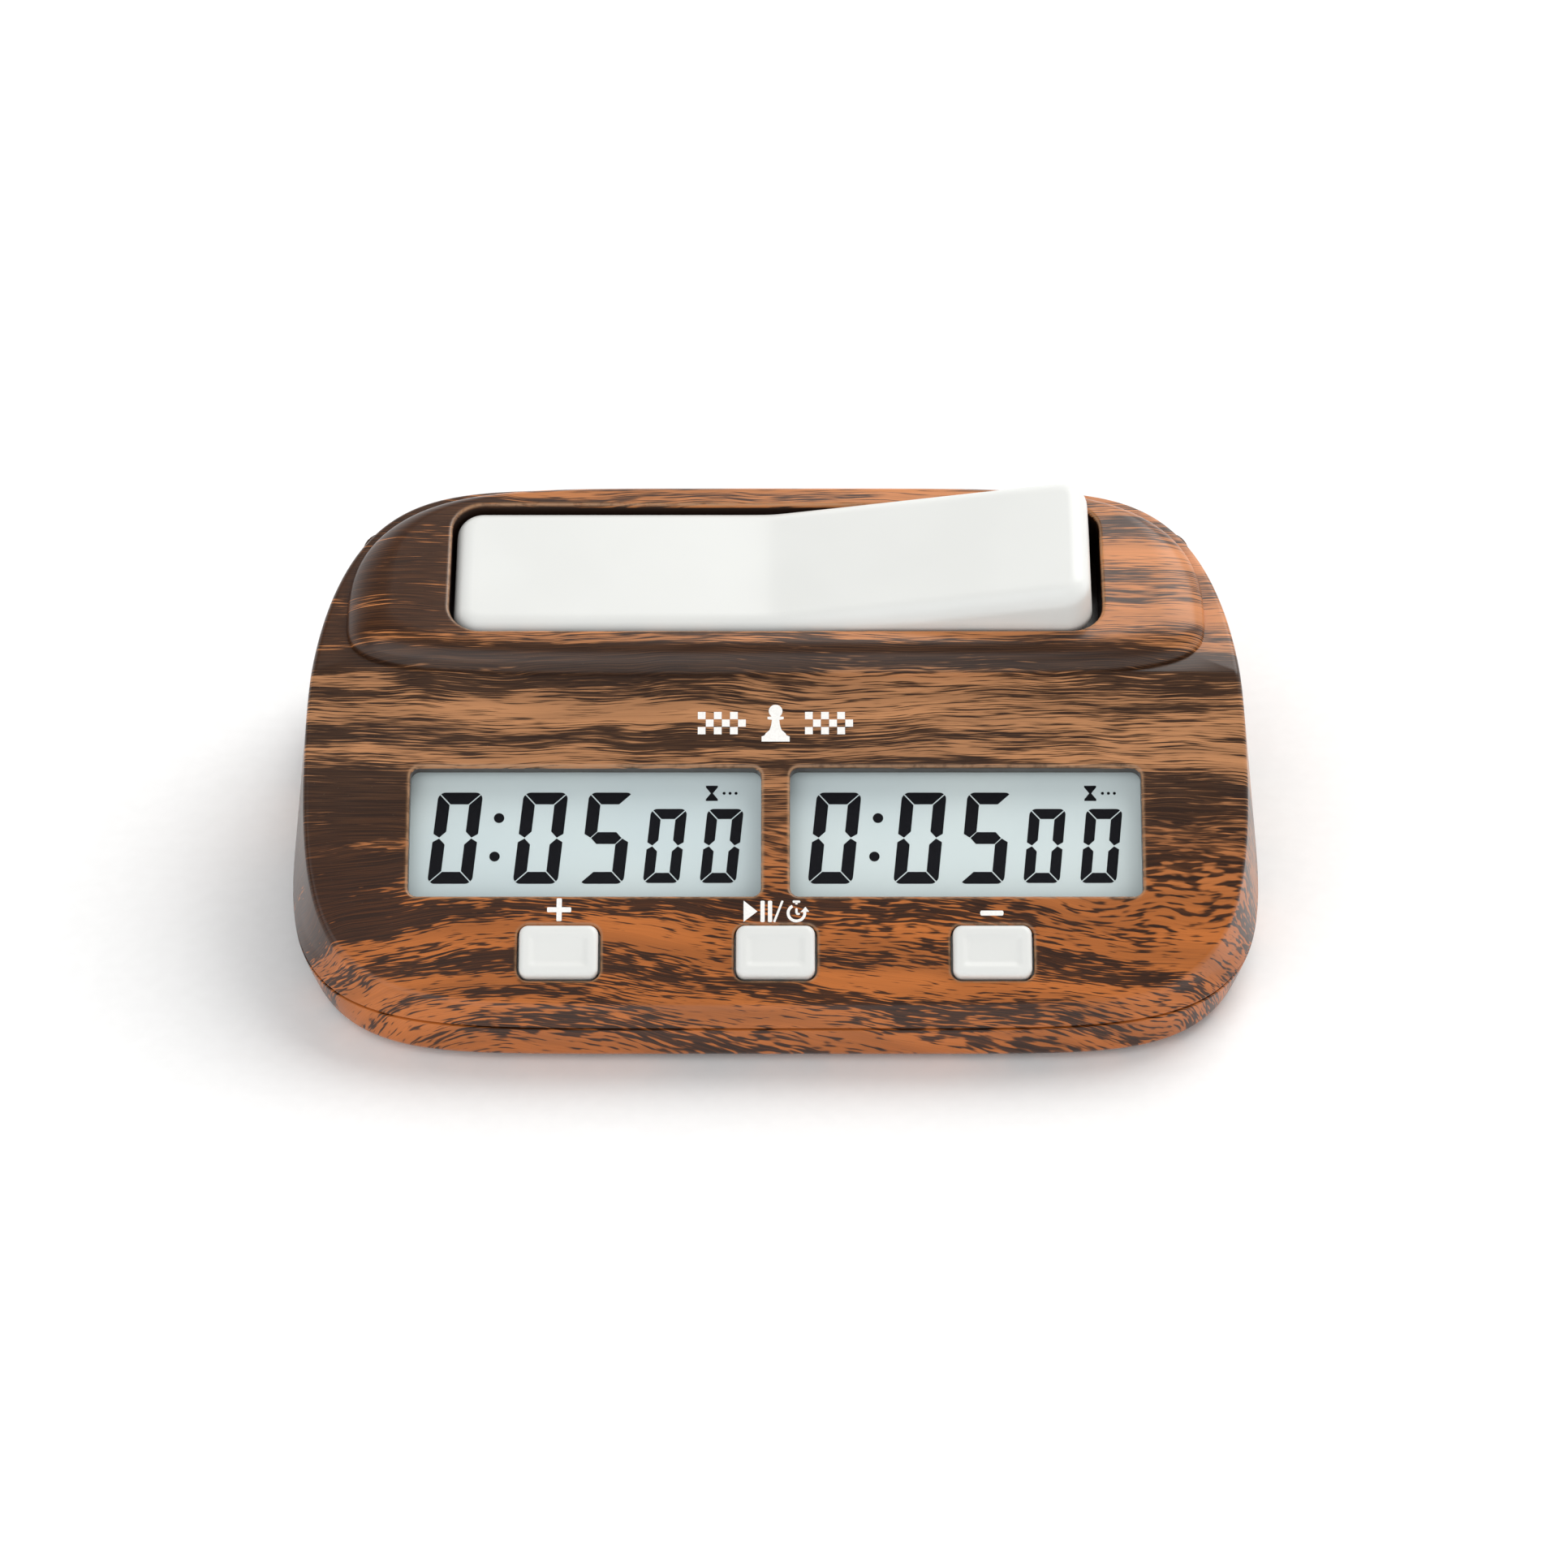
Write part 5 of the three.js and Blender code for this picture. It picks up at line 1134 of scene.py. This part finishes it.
def wood_group():
    """Printed wood: flecks along the grain, gathered in dark bands, coarse low on the face and fine above.

    v is the distance up the sloping face, in millimetres. The grain runs along x. Low on the face it arches
    by a / (1 + a / 25), where a = 0.2 * (sqrt((x + 38)^2 + 64) - 8). Down the side walls the print goes on by
    the depth under the roof.
    """
    graph, given, out = new_group("Wood print", [
        ("Upper", "Color", (0.5, 0.3, 0.2, 1)), ("Lower", "Color", (0.5, 0.2, 0.1, 1)),
        ("Deck", "Color", (0.5, 0.25, 0.12, 1)),
        ("Dark", "Color", (0.05, 0.02, 0.01, 1)), ("Figure", "Float", 1.0)],
        [("Color", "Color"), ("Figure", "Float")])
    place = graph.place_mm()
    split = graph.node("SeparateXYZ")
    graph.feed(split.inputs, place)
    x = split.outputs["X"]

    def over(plane, axis):
        reach = graph.vector("DOT_PRODUCT", place, tuple(plane.axes[axis]))
        return graph.math("SUBTRACT", reach, float(plane.origin @ plane.axes[axis]) / MM)

    v = over(FACE, 1)
    above = graph.math("MAXIMUM", over(FACE, 2), over(DECK, 2))
    drop = graph.math("MAXIMUM", graph.math("MULTIPLY", above, -1.0), 0.0)
    beside = graph.span(graph.math("ABSOLUTE", x), 45.0, 66.0)
    side = graph.math("MULTIPLY", graph.math("SIGN", x), graph.math("MULTIPLY", drop, beside))
    along = graph.math("ADD", x, side)
    u = graph.math("ADD", x, 38.0)
    arch = graph.math("SQRT", graph.math("MULTIPLY_ADD", u, u, 64.0))
    rise = graph.math("MULTIPLY", graph.math("SUBTRACT", arch, 8.0), 0.2)
    bend = graph.math("DIVIDE", rise, graph.math("MULTIPLY_ADD", rise, 0.04, 1.0))
    low = graph.span(v, 6.0, 32.0, 1.0, 0.0)
    drift = graph.combine(graph.math("MULTIPLY", along, 0.035), graph.math("MULTIPLY", v, 0.06), 3.0)
    warp = graph.math("MULTIPLY", graph.noise(drift, 1.0, 2.0), 4.5)
    shift = graph.math("MULTIPLY_ADD", bend, graph.math("MULTIPLY", low, -1.0), warp)
    grain = graph.math("SUBTRACT", v, shift)

    def layer(frequency, seed, detail=2.0, roughness=0.5, distortion=0.0):
        point = graph.combine(graph.math("MULTIPLY", along, frequency[0]),
                              graph.math("MULTIPLY", grain, frequency[1]), seed)
        return graph.noise(point, 1.0, detail, roughness, distortion)

    bands = layer((0.022, 0.27), 5.0, 2.0, 0.5, 0.2)
    flecks = layer((0.30, 3.7), 23.0, 1.0, 0.45, 0.05)
    lines = layer((0.13, 4.2), 37.0, 2.0, 0.6)
    hairs = layer((0.08, 7.0), 51.0, 2.0, 0.6)
    # More dark figure at the face's left edge, and painted shade on the pillow's left end, which the light
    # from the right and behind reaches less.
    left = graph.math("MULTIPLY", graph.span(x, -46.0, -58.0), graph.span(v, 6.0, 16.0))
    left = graph.math("MULTIPLY", left, graph.span(v, 38.0, 30.0))
    pillow_end_shade = graph.math("MULTIPLY", graph.span(x, -34.0, -50.0), graph.span(v, 53.0, 57.0))
    left = graph.math("ADD", left, pillow_end_shade)

    def belt(middle, start, end, amount):
        return graph.span(graph.math("ABSOLUTE", graph.math("SUBTRACT", v, middle)), start, end, amount, 0.0)

    # A faint dark band at v 32, and a stronger one at the pillow's front base that is partly print figure and
    # partly painted shade on the pillow's front shoulder.
    figure_and_shade = graph.math("ADD", graph.math("ADD", belt(32.0, 3.0, 9.0, 0.09), belt(52.4, 0.8, 3.0, 0.34)),
                       graph.math("MULTIPLY", left, 0.28))
    offset = graph.math("ADD", graph.math("MULTIPLY_ADD", bands, 1.1, -0.55), figure_and_shade)
    coarse = graph.span(graph.math("ADD", flecks, offset), 0.45, 0.58)
    fine = graph.span(graph.math("ADD", lines, graph.math("MULTIPLY", offset, 0.75)), 0.43, 0.58)
    upper = graph.span(v, 18.0, 34.0)
    chosen = graph.node("Mix", data_type="FLOAT")
    graph.feed(chosen.inputs[:1] + chosen.inputs[2:4], upper, coarse, fine)
    dark = graph.math("MULTIPLY", chosen.outputs[0], graph.span(hairs, 0.3, 0.6, 0.85, 1.0))
    # The paler ground above the displays is partly the print's tone and partly painted sheen.
    base = graph.mix(graph.span(v, 12.0, 40.0), given["Lower"], given["Upper"])
    base = graph.mix(graph.span(v, 50.0, 58.0), base, given["Deck"])
    tone = graph.math("MULTIPLY", graph.span(hairs, 0.25, 0.75, 0.84, 1.12, False),
                      graph.span(layer((0.03, 0.35), 61.0, 2.0), 0.3, 0.7, 0.8, 1.14))
    toned = graph.mix(1.0, base, graph.combine(tone, tone, tone), "MULTIPLY")
    depth = graph.math("MULTIPLY", graph.math("MULTIPLY", dark, given["Figure"]), 0.98)
    graph.feed([out["Color"], out["Figure"]], graph.mix(depth, toned, given["Dark"]), depth)
    return graph.tree


def shared_group(name):
    makers = {"Moulded skin": moulded_group, "Handling marks": smudge_group, "Wood print": wood_group}
    return bpy.data.node_groups.get(name) or makers[name]()


def begin(name, **sockets):
    """New material with its Principled shader, whose plain sockets take the values given."""
    made = bpy.data.materials.new(name)
    made.use_nodes = True
    shader = made.node_tree.nodes["Principled BSDF"]
    for label, value in sockets.items():
        shader.inputs[label.replace("_", " ")].default_value = value
    return made, Graph(made.node_tree), shader.inputs


def relief(graph, shader, height, distance, strength=1.0):
    """Bump of a height, in steps of a distance."""
    bump = graph.node("Bump")
    graph.feed([bump.inputs[name] for name in ("Strength", "Distance", "Height")], strength, distance, height)
    graph.feed([shader["Normal"]], bump.outputs[0])


def plastic(name, colour, roughness, grain=4.0, depth=1.2e-6, tint=0.06, **sockets):
    """Moulded plastic: pebbled skin, handling marks, dust, and a slight drift in its colour."""
    made, graph, shader = begin(name, **sockets)
    skin = graph.use(shared_group("Moulded skin"), Grain=grain)
    marks = graph.use(shared_group("Handling marks"))["Mask"]
    drift = graph.noise(graph.place_mm(), 0.05, 2.0)
    shade = graph.span(drift, 0.3, 0.7, 1.0 - tint, 1.0)
    toned = graph.mix(1.0, colour, graph.combine(shade, shade, shade), "MULTIPLY")
    dusty = graph.mix(graph.math("MULTIPLY", skin["Dust"], 0.08), toned, linear(176, 170, 160))
    rough = graph.math("ADD", roughness, graph.math("MULTIPLY", marks, 0.09))
    graph.feed([shader["Base Color"], shader["Roughness"]], dusty,
               graph.math("ADD", rough, graph.math("MULTIPLY", skin["Dust"], 0.12)))
    relief(graph, shader, skin["Height"], depth)
    return made


def wood_finish():
    """Wood print under a satin coat, worn at the rims of openings and ending a little way inside them."""
    made, graph, shader = begin("Wood print", Specular_IOR_Level=0.3, Coat_Weight=0.25, Coat_Roughness=0.2)
    look = colours()
    wood = graph.use(shared_group("Wood print"), Upper=look.wood_upper_and_sheen, Lower=look.wood_lower,
                     Deck=look.wood_deck, Dark=look.wood_dark)
    skin = graph.use(shared_group("Moulded skin"), Grain=2.6)
    marks = graph.use(shared_group("Handling marks"), Size=30.0)["Mask"]
    # Above zero on the rims of the openings for a paler tan band, -1 down their walls for painted shade.
    rim_and_shade_values = graph.node("Attribute", attribute_name="edge_wear").outputs["Fac"]
    broken = graph.span(graph.noise(graph.place_mm(), 0.8, 3.0, 0.6), 0.3, 0.6, 0.3, 0.75)
    # A paler tan band on the rims of the openings, broken by noise.
    rim = graph.math("MAXIMUM", rim_and_shade_values, 0.0)
    edged = graph.mix(graph.math("MULTIPLY", rim, broken), wood["Color"], look.rim_tone)
    dusty = graph.mix(graph.math("MULTIPLY", skin["Dust"], 0.06), edged, linear(205, 180, 160))
    # Painted shade on the walls of the openings, where the values are -1.
    dusty = graph.mix(graph.span(rim_and_shade_values, -0.1, -0.9), dusty, look.painted_wall_shade)
    rough = graph.math("ADD", 0.36, graph.math("MULTIPLY", marks, 0.08))
    graph.feed([shader["Base Color"], shader["Roughness"]], dusty,
               graph.math("SUBTRACT", rough, graph.math("MULTIPLY", wood["Figure"], 0.05)))
    relief(graph, shader, skin["Height"], 1.6e-6)
    return made


def glass_finish():
    """Pale blue-grey display glass: a faint mottle under a satin top with a fine tooth."""
    made, graph, shader = begin("Display glass", Specular_IOR_Level=0.35)
    place = graph.place_mm()
    cloud = graph.noise(place, 0.03, 2.0)
    fine = graph.noise(place, 6.0, 1.0)
    base = graph.mix(graph.span(cloud, 0.35, 0.65), colours().display, linear(232, 245, 245))
    graph.feed([shader["Base Color"], shader["Roughness"]], base, graph.span(fine, 0.3, 0.7, 0.3, 0.42))
    relief(graph, shader, fine, 0.5e-6)
    return made


def ink_finish(name, colour, roughness):
    """Thin ink: slightly uneven cover and a dry, fine tooth."""
    made, graph, shader = begin(name, Specular_IOR_Level=0.2)
    place = graph.place_mm()
    cover = graph.span(graph.noise(place, 3.0, 3.0, 0.6), 0.3, 0.7, 0.92, 1.0)
    shade = graph.mix(1.0, colour, graph.combine(cover, cover, cover), "MULTIPLY")
    graph.feed([shader["Base Color"], shader["Roughness"]], shade,
               graph.span(graph.noise(place, 8.0, 2.0), 0.3, 0.7, roughness, roughness + 0.12))
    relief(graph, shader, graph.noise(place, 9.0, 2.0), 1e-6)
    return made


def lens_finish():
    """Clear window: nothing but its gloss, with faint handling marks in it."""
    made, graph, shader = begin("Clear lens", IOR=1.49, Alpha=0.04, Specular_IOR_Level=0.2)
    marks = graph.use(shared_group("Handling marks"), Size=14.0)["Mask"]
    graph.feed([shader["Base Color"], shader["Roughness"]],
               graph.mix(marks, linear(16, 17, 18), linear(30, 31, 32)),
               graph.math("ADD", 0.05, graph.math("MULTIPLY", marks, 0.1)))
    return made


def metal_finish(name, colour, roughness):
    """Bright plated metal: drawn lines round the part, dulled where it has been handled."""
    made, graph, shader = begin(name, Metallic=1.0)
    place = graph.place_mm()
    drawn = graph.noise(graph.vector("MULTIPLY", place, (0.8, 0.8, 9.0)), 1.4, 3.0, 0.6)
    marks = graph.use(shared_group("Handling marks"), Size=6.0)["Mask"]
    tarnish = graph.mix(graph.math("MULTIPLY", marks, 0.35), colour, linear(96, 90, 84))
    graph.feed([shader["Base Color"], shader["Roughness"]], tarnish,
               graph.math("ADD", graph.span(drawn, 0.3, 0.7, roughness, roughness + 0.12),
                          graph.math("MULTIPLY", marks, 0.15)))
    relief(graph, shader, drawn, 2e-6)
    return made


def board_finish():
    """Circuit board: green mask with traces under it on a square grid, pads and a fine weave."""
    made, graph, shader = begin("Circuit board", Coat_Weight=0.3, Coat_Roughness=0.2)
    place = graph.place_mm()
    cells = graph.node("TexVoronoi", feature="DISTANCE_TO_EDGE", distance="MANHATTAN")
    graph.feed([cells.inputs["Vector"], cells.inputs["Scale"]], place, 0.35)
    trace = graph.span(cells.outputs["Distance"], 0.05, 0.09, 1.0, 0.0)
    weave = graph.noise(graph.vector("MULTIPLY", place, (4.0, 4.0, 4.0)), 1.0, 1.0)
    green = graph.mix(trace, linear(20, 84, 48), linear(46, 124, 70))
    graph.feed([shader["Base Color"], shader["Roughness"]], green, graph.span(weave, 0.3, 0.7, 0.3, 0.45))
    relief(graph, shader, graph.math("ADD", trace, graph.math("MULTIPLY", weave, 0.4)), 12e-6)
    return made


def sleeve_finish():
    """Printed cell sleeve: two plain colour bands, a wrinkle in the film, and a bare metal end."""
    made, graph, shader = begin("Cell sleeve", Coat_Weight=0.5, Coat_Roughness=0.12)
    place = graph.place_mm()
    split = graph.node("SeparateXYZ")
    graph.feed(split.inputs, place)
    x = split.outputs["X"]
    band = graph.span(x, 8.0, 8.3)
    ends = graph.math("MAXIMUM", graph.span(x, 23.6, 23.8), graph.span(x, -24.2, -24.4))
    film = graph.noise(place, 0.9, 2.0)
    sleeve = graph.mix(band, linear(34, 36, 40), linear(196, 132, 62))
    graph.feed([shader["Base Color"], shader["Metallic"], shader["Roughness"]],
               graph.mix(ends, sleeve, linear(196, 194, 188)), ends, graph.span(film, 0.3, 0.7, 0.24, 0.36))
    relief(graph, shader, film, 8e-6)
    return made


def rubber_finish():
    """Soft rubber: matt, fine-pitted, greyed by dust."""
    return plastic("Rubber", linear(34, 34, 36), 0.72, 7.0, 6e-6, 0.15)


def finish(name):
    """The named finish, made when it is first asked for."""
    look = colours()
    makers = {
        "Wood print": wood_finish,
        "White plastic": lambda: plastic(name, look.white, 0.36, 5.0, 0.9e-6, 0.03, Coat_Weight=0.15,
                                         Coat_Roughness=0.3),
        "Black plastic": lambda: plastic(name, linear(26, 26, 28), 0.42, 5.0, 2.5e-6, 0.12),
        "Display glass": glass_finish,
        "Display ink": lambda: ink_finish(name, look.ink, 0.45),
        "White ink": lambda: ink_finish(name, linear(252, 250, 246), 0.45),
        "Clear lens": lens_finish,
        "Plated steel": lambda: metal_finish(name, linear(196, 194, 190), 0.28),
        "Circuit board": board_finish,
        "Cell sleeve": sleeve_finish,
        "Rubber": rubber_finish,
        "Red lead": lambda: plastic(name, linear(186, 34, 28), 0.38, 5.0, 2e-6, 0.1),
        "Black lead": lambda: plastic(name, linear(24, 24, 26), 0.4, 5.0, 2e-6, 0.1),
    }
    return bpy.data.materials.get(name) or makers[name]()


def finish_inner_parts():
    """Finishes for the parts inside, whose plain shapes stay."""
    stems = {
        "Circuit board": ("main_board", "turn_board"),
        "Plated steel": ("board_screw", "turn_board_screw", "rocker_pin", "pin_clip", "contact_", "crystal",
                         "power_switch"),
        "Black plastic": ("turn_switch", "tact_switch", "controller_chip", "buzzer", "contact_strip",
                          "display_frame"),
        "White plastic": ("turn_plunger", "tact_plunger", "ribbon_cable"),
        "Red lead": ("battery_lead_red",),
        "Black lead": ("battery_lead_black",),
    }
    finishes = {stem: name for name, group in stems.items() for stem in group}
    for name, node in frame["nodes"].items():
        stem = max((stem for stem in finishes if name.startswith(stem)), key=len, default=None)
        if stem:
            node.data.materials.clear()
            node.data.materials.append(finish(finishes[stem]))


# ----------------------------------------------------------
# Table, light and camera
# ----------------------------------------------------------

CAMERA_PLACE = (1.2 * MM, -606.8 * MM, 559.0 * MM)
CAMERA_TILT = 48.0  # degrees from straight down
CAMERA_LENS = 128.6
LIGHTS = (  # name, place, watts, size, colour; all aim at the clock
    ("Back window", (0.50, 0.60, 0.95), 10.5, 0.9, (1.0, 0.99, 0.97)),
    ("Front fill", (-0.35, -0.70, 1.00), 4.8, 1.0, (0.97, 0.985, 1.0)),
)


def make_stage():
    """White table, a room that is dark overhead, two soft lights, and the camera."""
    scene = bpy.context.scene
    mesh = bpy.data.meshes.new("table_top")
    reach = 6.0
    edge = [(-reach, -reach, 0), (reach, -reach, 0), (reach, reach, 0), (-reach, reach, 0)]
    mesh.from_pydata(edge, [], [(0, 1, 2, 3)])
    table = bpy.data.objects.new("table_top", mesh)
    scene.collection.objects.link(table)
    paper, graph, shader = begin("Table paper", Roughness=0.85)
    tooth = graph.noise(graph.place_mm(), 0.4, 2.0)
    tone = graph.span(tooth, 0.3, 0.7, 0.97, 0.99)
    graph.feed([shader["Base Color"]], graph.combine(tone, tone, tone))
    mesh.materials.append(paper)

    aim = Vector((0, 0, 0.02))
    for name, place, power, size, colour in LIGHTS:
        lamp = bpy.data.lights.new(name, "AREA")
        lamp.energy, lamp.size, lamp.color = power, size, colour
        made = bpy.data.objects.new(name, lamp)
        made.location = place
        made.rotation_euler = (aim - Vector(place)).to_track_quat("-Z", "Y").to_euler()
        scene.collection.objects.link(made)

    world = bpy.data.worlds.new("Room")
    world.use_nodes = True
    graph = Graph(world.node_tree)
    split = graph.node("SeparateXYZ")
    graph.feed(split.inputs, graph.node("TexCoord").outputs["Generated"])
    bright = graph.span(split.outputs["Z"], 0.3, 0.85, 1.15, 0.16)
    background = world.node_tree.nodes["Background"]
    graph.feed([background.inputs["Color"]], graph.combine(bright, bright, bright))
    scene.world = world

    lens = bpy.data.cameras.new("Camera")
    lens.lens = CAMERA_LENS
    lens.sensor_width = 36.0
    lens.clip_start, lens.clip_end = 0.01, 20.0
    camera = bpy.data.objects.new("Camera", lens)
    camera.location = CAMERA_PLACE
    camera.rotation_euler = (math.radians(CAMERA_TILT), 0, 0)
    scene.collection.objects.link(camera)
    scene.camera = camera
    scene.view_settings.view_transform = "Standard"
    scene.view_settings.look = "None"


# ----------------------------------------------------------
# Settings, operators and panel
# ----------------------------------------------------------


def length(label, text, millimetres):
    return bpy.props.FloatProperty(name=label, description=text, default=millimetres * MM, subtype="DISTANCE",
                                   unit="LENGTH", precision=6)


def colour(label, text, *screen):
    return bpy.props.FloatVectorProperty(name=label, description=text, default=linear(*screen), size=4,
                                         subtype="COLOR", min=0.0, max=1.0)


class ClockSizes(bpy.types.PropertyGroup):
    """Sizes of the clock's fine surfaces, in metres."""
    edge_round: length("Case edge", "How far in the rounding of the case's upper edge starts", 0.75)
    edge_rear: length("Rear edge", "How far in that rounding starts along the rear", 0.6)
    split_ease: length("Split easing", "Easing of both shells at the line where they meet", 0.25)
    hump_height: length("Pillow height", "Rise of the pillow over the deck", 3.0)
    shoulder: length("Front shoulder", "Width of the pillow's rounded shoulder at its front", 4.0)
    shoulder_end: length("End shoulder", "Width of the shoulder at the pillow's two ends", 6.4)
    shoulder_rear: length("Rear shoulder", "Width of the shoulder behind the rocker", 1.8)
    well_round: length("Well edge", "Rounding of the rocker well's rim", 0.5)
    window_round: length("Window edge", "Rounding of the display windows' rims", 0.5)
    hole_round: length("Button hole edge", "Rounding of the button holes' rims", 0.4)
    rocker_round: length("Rocker edge", "Rounding of the rocker's upper edge", 2.8)
    button_round: length("Button edge", "Rounding of a button's upper edge", 0.75)
    button_dish: length("Button dish", "Depth of the hollow in a button's top", 0.3)
    print_thickness: length("Print thickness", "How far the printed symbols stand out", 0.02)


class ClockColours(bpy.types.PropertyGroup):
    """Colours of the clock's finishes."""
    # The upper ground colour is paler partly as painted sheen.
    wood_upper_and_sheen: colour("Upper wood", "Print's ground colour above the displays", 180, 126, 84)
    wood_lower: colour("Lower wood", "Print's ground colour below the displays", 178, 101, 44)
    wood_deck: colour("Deck wood", "Print's ground colour around the rocker", 196, 124, 70)
    # The dark figure colour also gives the painted shade at the pillow's front base and on its left end.
    wood_dark: colour("Dark figure", "Print's dark figure", 34, 16, 6)
    # Painted shade on the walls inside the openings.
    painted_wall_shade: colour("Bare wall", "Plastic inside the openings, where the print ends", 40, 25, 17)
    rim_tone: colour("Worn edge", "Thin print over the rims of the openings", 176, 134, 98)
    white: colour("White plastic", "Rocker and buttons", 228, 229, 226)
    display: colour("Display", "Ground of the displays", 224, 239, 241)
    ink: colour("Display ink", "Dark shapes on the displays", 6, 7, 16)


def part_operator(identifier, label, text, *makers):
    """Operator that makes one piece or a group of like pieces."""

    def execute(self, context):
        for maker in makers:
            maker()
        return {"FINISHED"}

    name = "CLOCK_OT_" + identifier
    return type(name, (bpy.types.Operator,), {
        "__doc__": text, "bl_idname": "clock." + identifier, "bl_label": label,
        "bl_options": {"REGISTER", "UNDO"}, "execute": execute})


OPERATORS = (
    part_operator("upper_shell", "Upper shell", "Make the upper shell with its pillow and well",
                  make_upper_shell),
    part_operator("lower_shell", "Lower shell", "Make the lower shell", make_lower_shell),
    part_operator("rocker", "Rocker", "Make the rocker", make_rocker),
    part_operator("buttons", "Buttons", "Make the three button caps", make_buttons),
    part_operator("displays", "Displays", "Make the display glasses, their digits and their covers",
                  make_displays),
    part_operator("prints", "Printed symbols", "Make the symbols printed on the face", make_prints),
    part_operator("battery", "Battery parts", "Make the cell, its door and the power slider",
                  make_battery_parts),
    part_operator("fasteners", "Screws and feet", "Make the case screws and the rubber feet", make_fasteners),
    part_operator("inner_parts", "Parts inside", "Give the parts inside their finishes", finish_inner_parts),
    part_operator("stage", "Table, light and camera", "Make the table, the lights and the camera",
                  make_stage),
)


class CLOCK_PT_pieces(bpy.types.Panel):
    """Buttons for the clock's pieces, and their sizes and colours"""
    bl_idname = "CLOCK_PT_pieces"
    bl_label = "Chess clock"
    bl_space_type = "VIEW_3D"
    bl_region_type = "UI"
    bl_category = "Chess clock"

    def draw(self, context):
        for operator in OPERATORS:
            self.layout.operator(operator.bl_idname)
        for settings in (sizes(), colours()):
            box = self.layout.box()
            for name in settings.__annotations__:
                box.prop(settings, name)


CLASSES = (ClockSizes, ClockColours, *OPERATORS, CLOCK_PT_pieces)


def register():
    for kind in CLASSES:
        bpy.utils.register_class(kind)
    bpy.types.Scene.clock_sizes = bpy.props.PointerProperty(type=ClockSizes)
    bpy.types.Scene.clock_colours = bpy.props.PointerProperty(type=ClockColours)


def unregister():
    del bpy.types.Scene.clock_sizes
    del bpy.types.Scene.clock_colours
    for kind in reversed(CLASSES):
        bpy.utils.unregister_class(kind)


def main():
    register()
    for operator in OPERATORS:
        group, name = operator.bl_idname.split(".")
        getattr(getattr(bpy.ops, group), name)()


if __name__ == "__main__":
    main()
